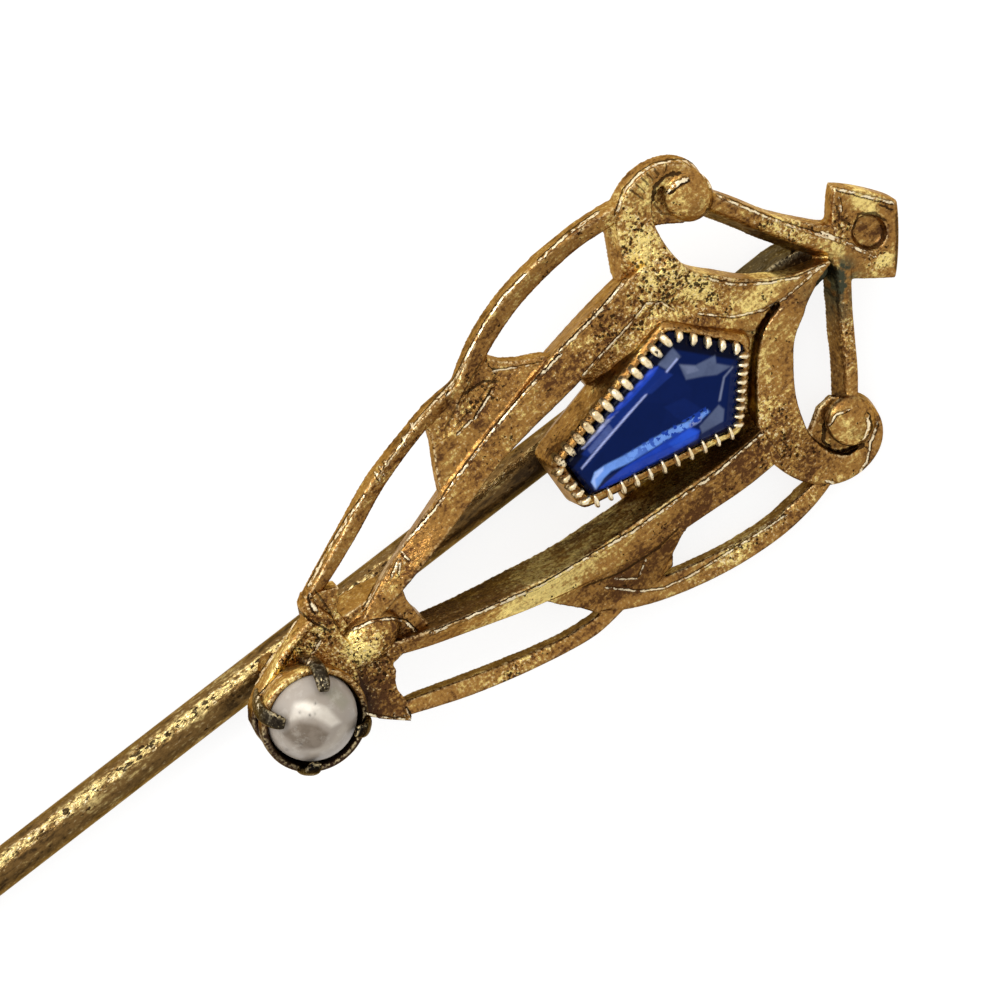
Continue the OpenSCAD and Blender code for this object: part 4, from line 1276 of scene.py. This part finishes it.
def pearl():
    """The pearl, with soft painted patches of light and shade and a few specks."""
    shells = Shells()
    shells.ball(PEARL_CENTRE, (PEARL_R,) * 3, 128)
    obj = as_object(shells, "pearl_bead")
    points = np.array(shells.points)
    x, y = points[:, 0], points[:, 1] - (points[:, 2] - PEARL_SEEN) * VIEW_SLOPE
    colours = painted(x, y, PEARL_GROUND, PEARL_LIGHT_AND_SHADE, PEARL_SOFT)
    for a, b in PEARL_SPECKS:
        spot = np.exp(-((x - a) ** 2 + (y - b) ** 2) / SPECK_R**2)
        colours *= 1 - SPECK_SHADE * spot[:, None]
    store_colour(obj.data, "seen", np.array(PEARL_TINT) * colours)
    settle(obj.data, points)
    return obj


def highlit_teeth():
    """The teeth, with a painted highlight on all but their outer ends, which are brown."""
    obj = as_object(teeth(), "teeth")
    x, y, _ = mesh_arrays(obj.data)[0].T
    bright = smoothstep(-0.42, -0.26, signed_distance(x, y, kite(0)))
    shade_metal(obj, FINE)
    for name, values in (("tone_and_light", 2.4 * bright - 1.2), ("wear_and_highlight", bright), ("grime_and_shade", 0.6 - 0.6 * bright)):
        store(obj.data, name, values)
    return obj


# Where across the stem its painted highlight runs, and how wide it is
GLOW_PLACE, GLOW_REACH = 0.16, 0.12


def highlit_stem():
    """The stem, with a painted highlight and pits along its top, darker on its lower side, and dark in the
    shade of the head.
    """
    obj = as_object(stem(), "stem")
    points = mesh_arrays(obj.data)[0]
    along, across = points[:, 0], points @ ACROSS_VIEW
    glow = np.exp(-(((across - GLOW_PLACE) / GLOW_REACH) ** 2)) * (1 - 0.7 * smoothstep(-3.0, 0.0, along))
    shade = 0.6 * smoothstep(0.0, 3.0, along) * (1 - smoothstep(-0.2, 0.1, across))
    shade_metal(obj, STEM_GRAIN)
    store(obj.data, "tone_and_light", 1.4 * glow - shade)
    store(obj.data, "pitted", 1.1 * glow)
    # Painted shade on the lower side of the stem and in the shade of the head
    store(obj.data, "grime_and_shade", 0.2 * smoothstep(0.2, 0.5, -across) + shade)
    return obj


def keep(obj, material, slot, *nodes):
    """Gives a piece its material and ties it to the model."""
    obj.data.materials.clear()
    obj.data.materials.append(material)
    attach(obj, "root")
    if nodes:
        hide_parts(*nodes)


add_camera()
gilt = metal("aged_gilt", (0.108, 0.045, 0.016), (0.375, 0.188, 0.047), (0.98, 0.76, 0.26))
dull = metal("dull_stem", (0.055, 0.031, 0.012), (0.175, 0.098, 0.031), (0.66, 0.50, 0.20), 0.85, 0.5)
# The tang's near-black palette is its dull metal with painted shade under the cusp
dark = metal("shaded_tang", (0.012, 0.008, 0.005), (0.030, 0.020, 0.012), (0.09, 0.07, 0.04), 0.6)
# The teeth's palette is a brighter, creamier copy of the gilt: painted highlight
creamy_highlight = metal("highlit_teeth", (0.22, 0.12, 0.04), (0.80, 0.62, 0.36), (1.0, 0.90, 0.68))
sooty = metal("blackened_cup", (0.010, 0.007, 0.005), (0.036, 0.028, 0.018), (0.34, 0.29, 0.20), 0.9)

for name, shells, voxel, material, nodes in (
    ("arms", arms(), VOXEL, gilt, ()),
    ("wings", wings(), VOXEL, gilt, ("gilt_mount",)),
    ("collet", collet(), FINE, gilt, ()),
    ("base", base(), FINE, gilt, ()),
    ("tang", tang(), FINE, dark, ()),
    ("cup", cup(), VOXEL, gilt, ()),
    ("claws", claws(), FINEST, sooty, ()),
):
    piece = fused(shells, name, voxel)
    shade_metal(piece, voxel)
    keep(piece, material, "gilt", *nodes)
keep(highlit_teeth(), creamy_highlight, "gilt")
keep(highlit_stem(), dull, "gilt")
keep(stone(), stone_material(), "blue_stone", "kite_stone")
keep(pearl(), pearl_material(), "nacre", "pearl")
add_stage()
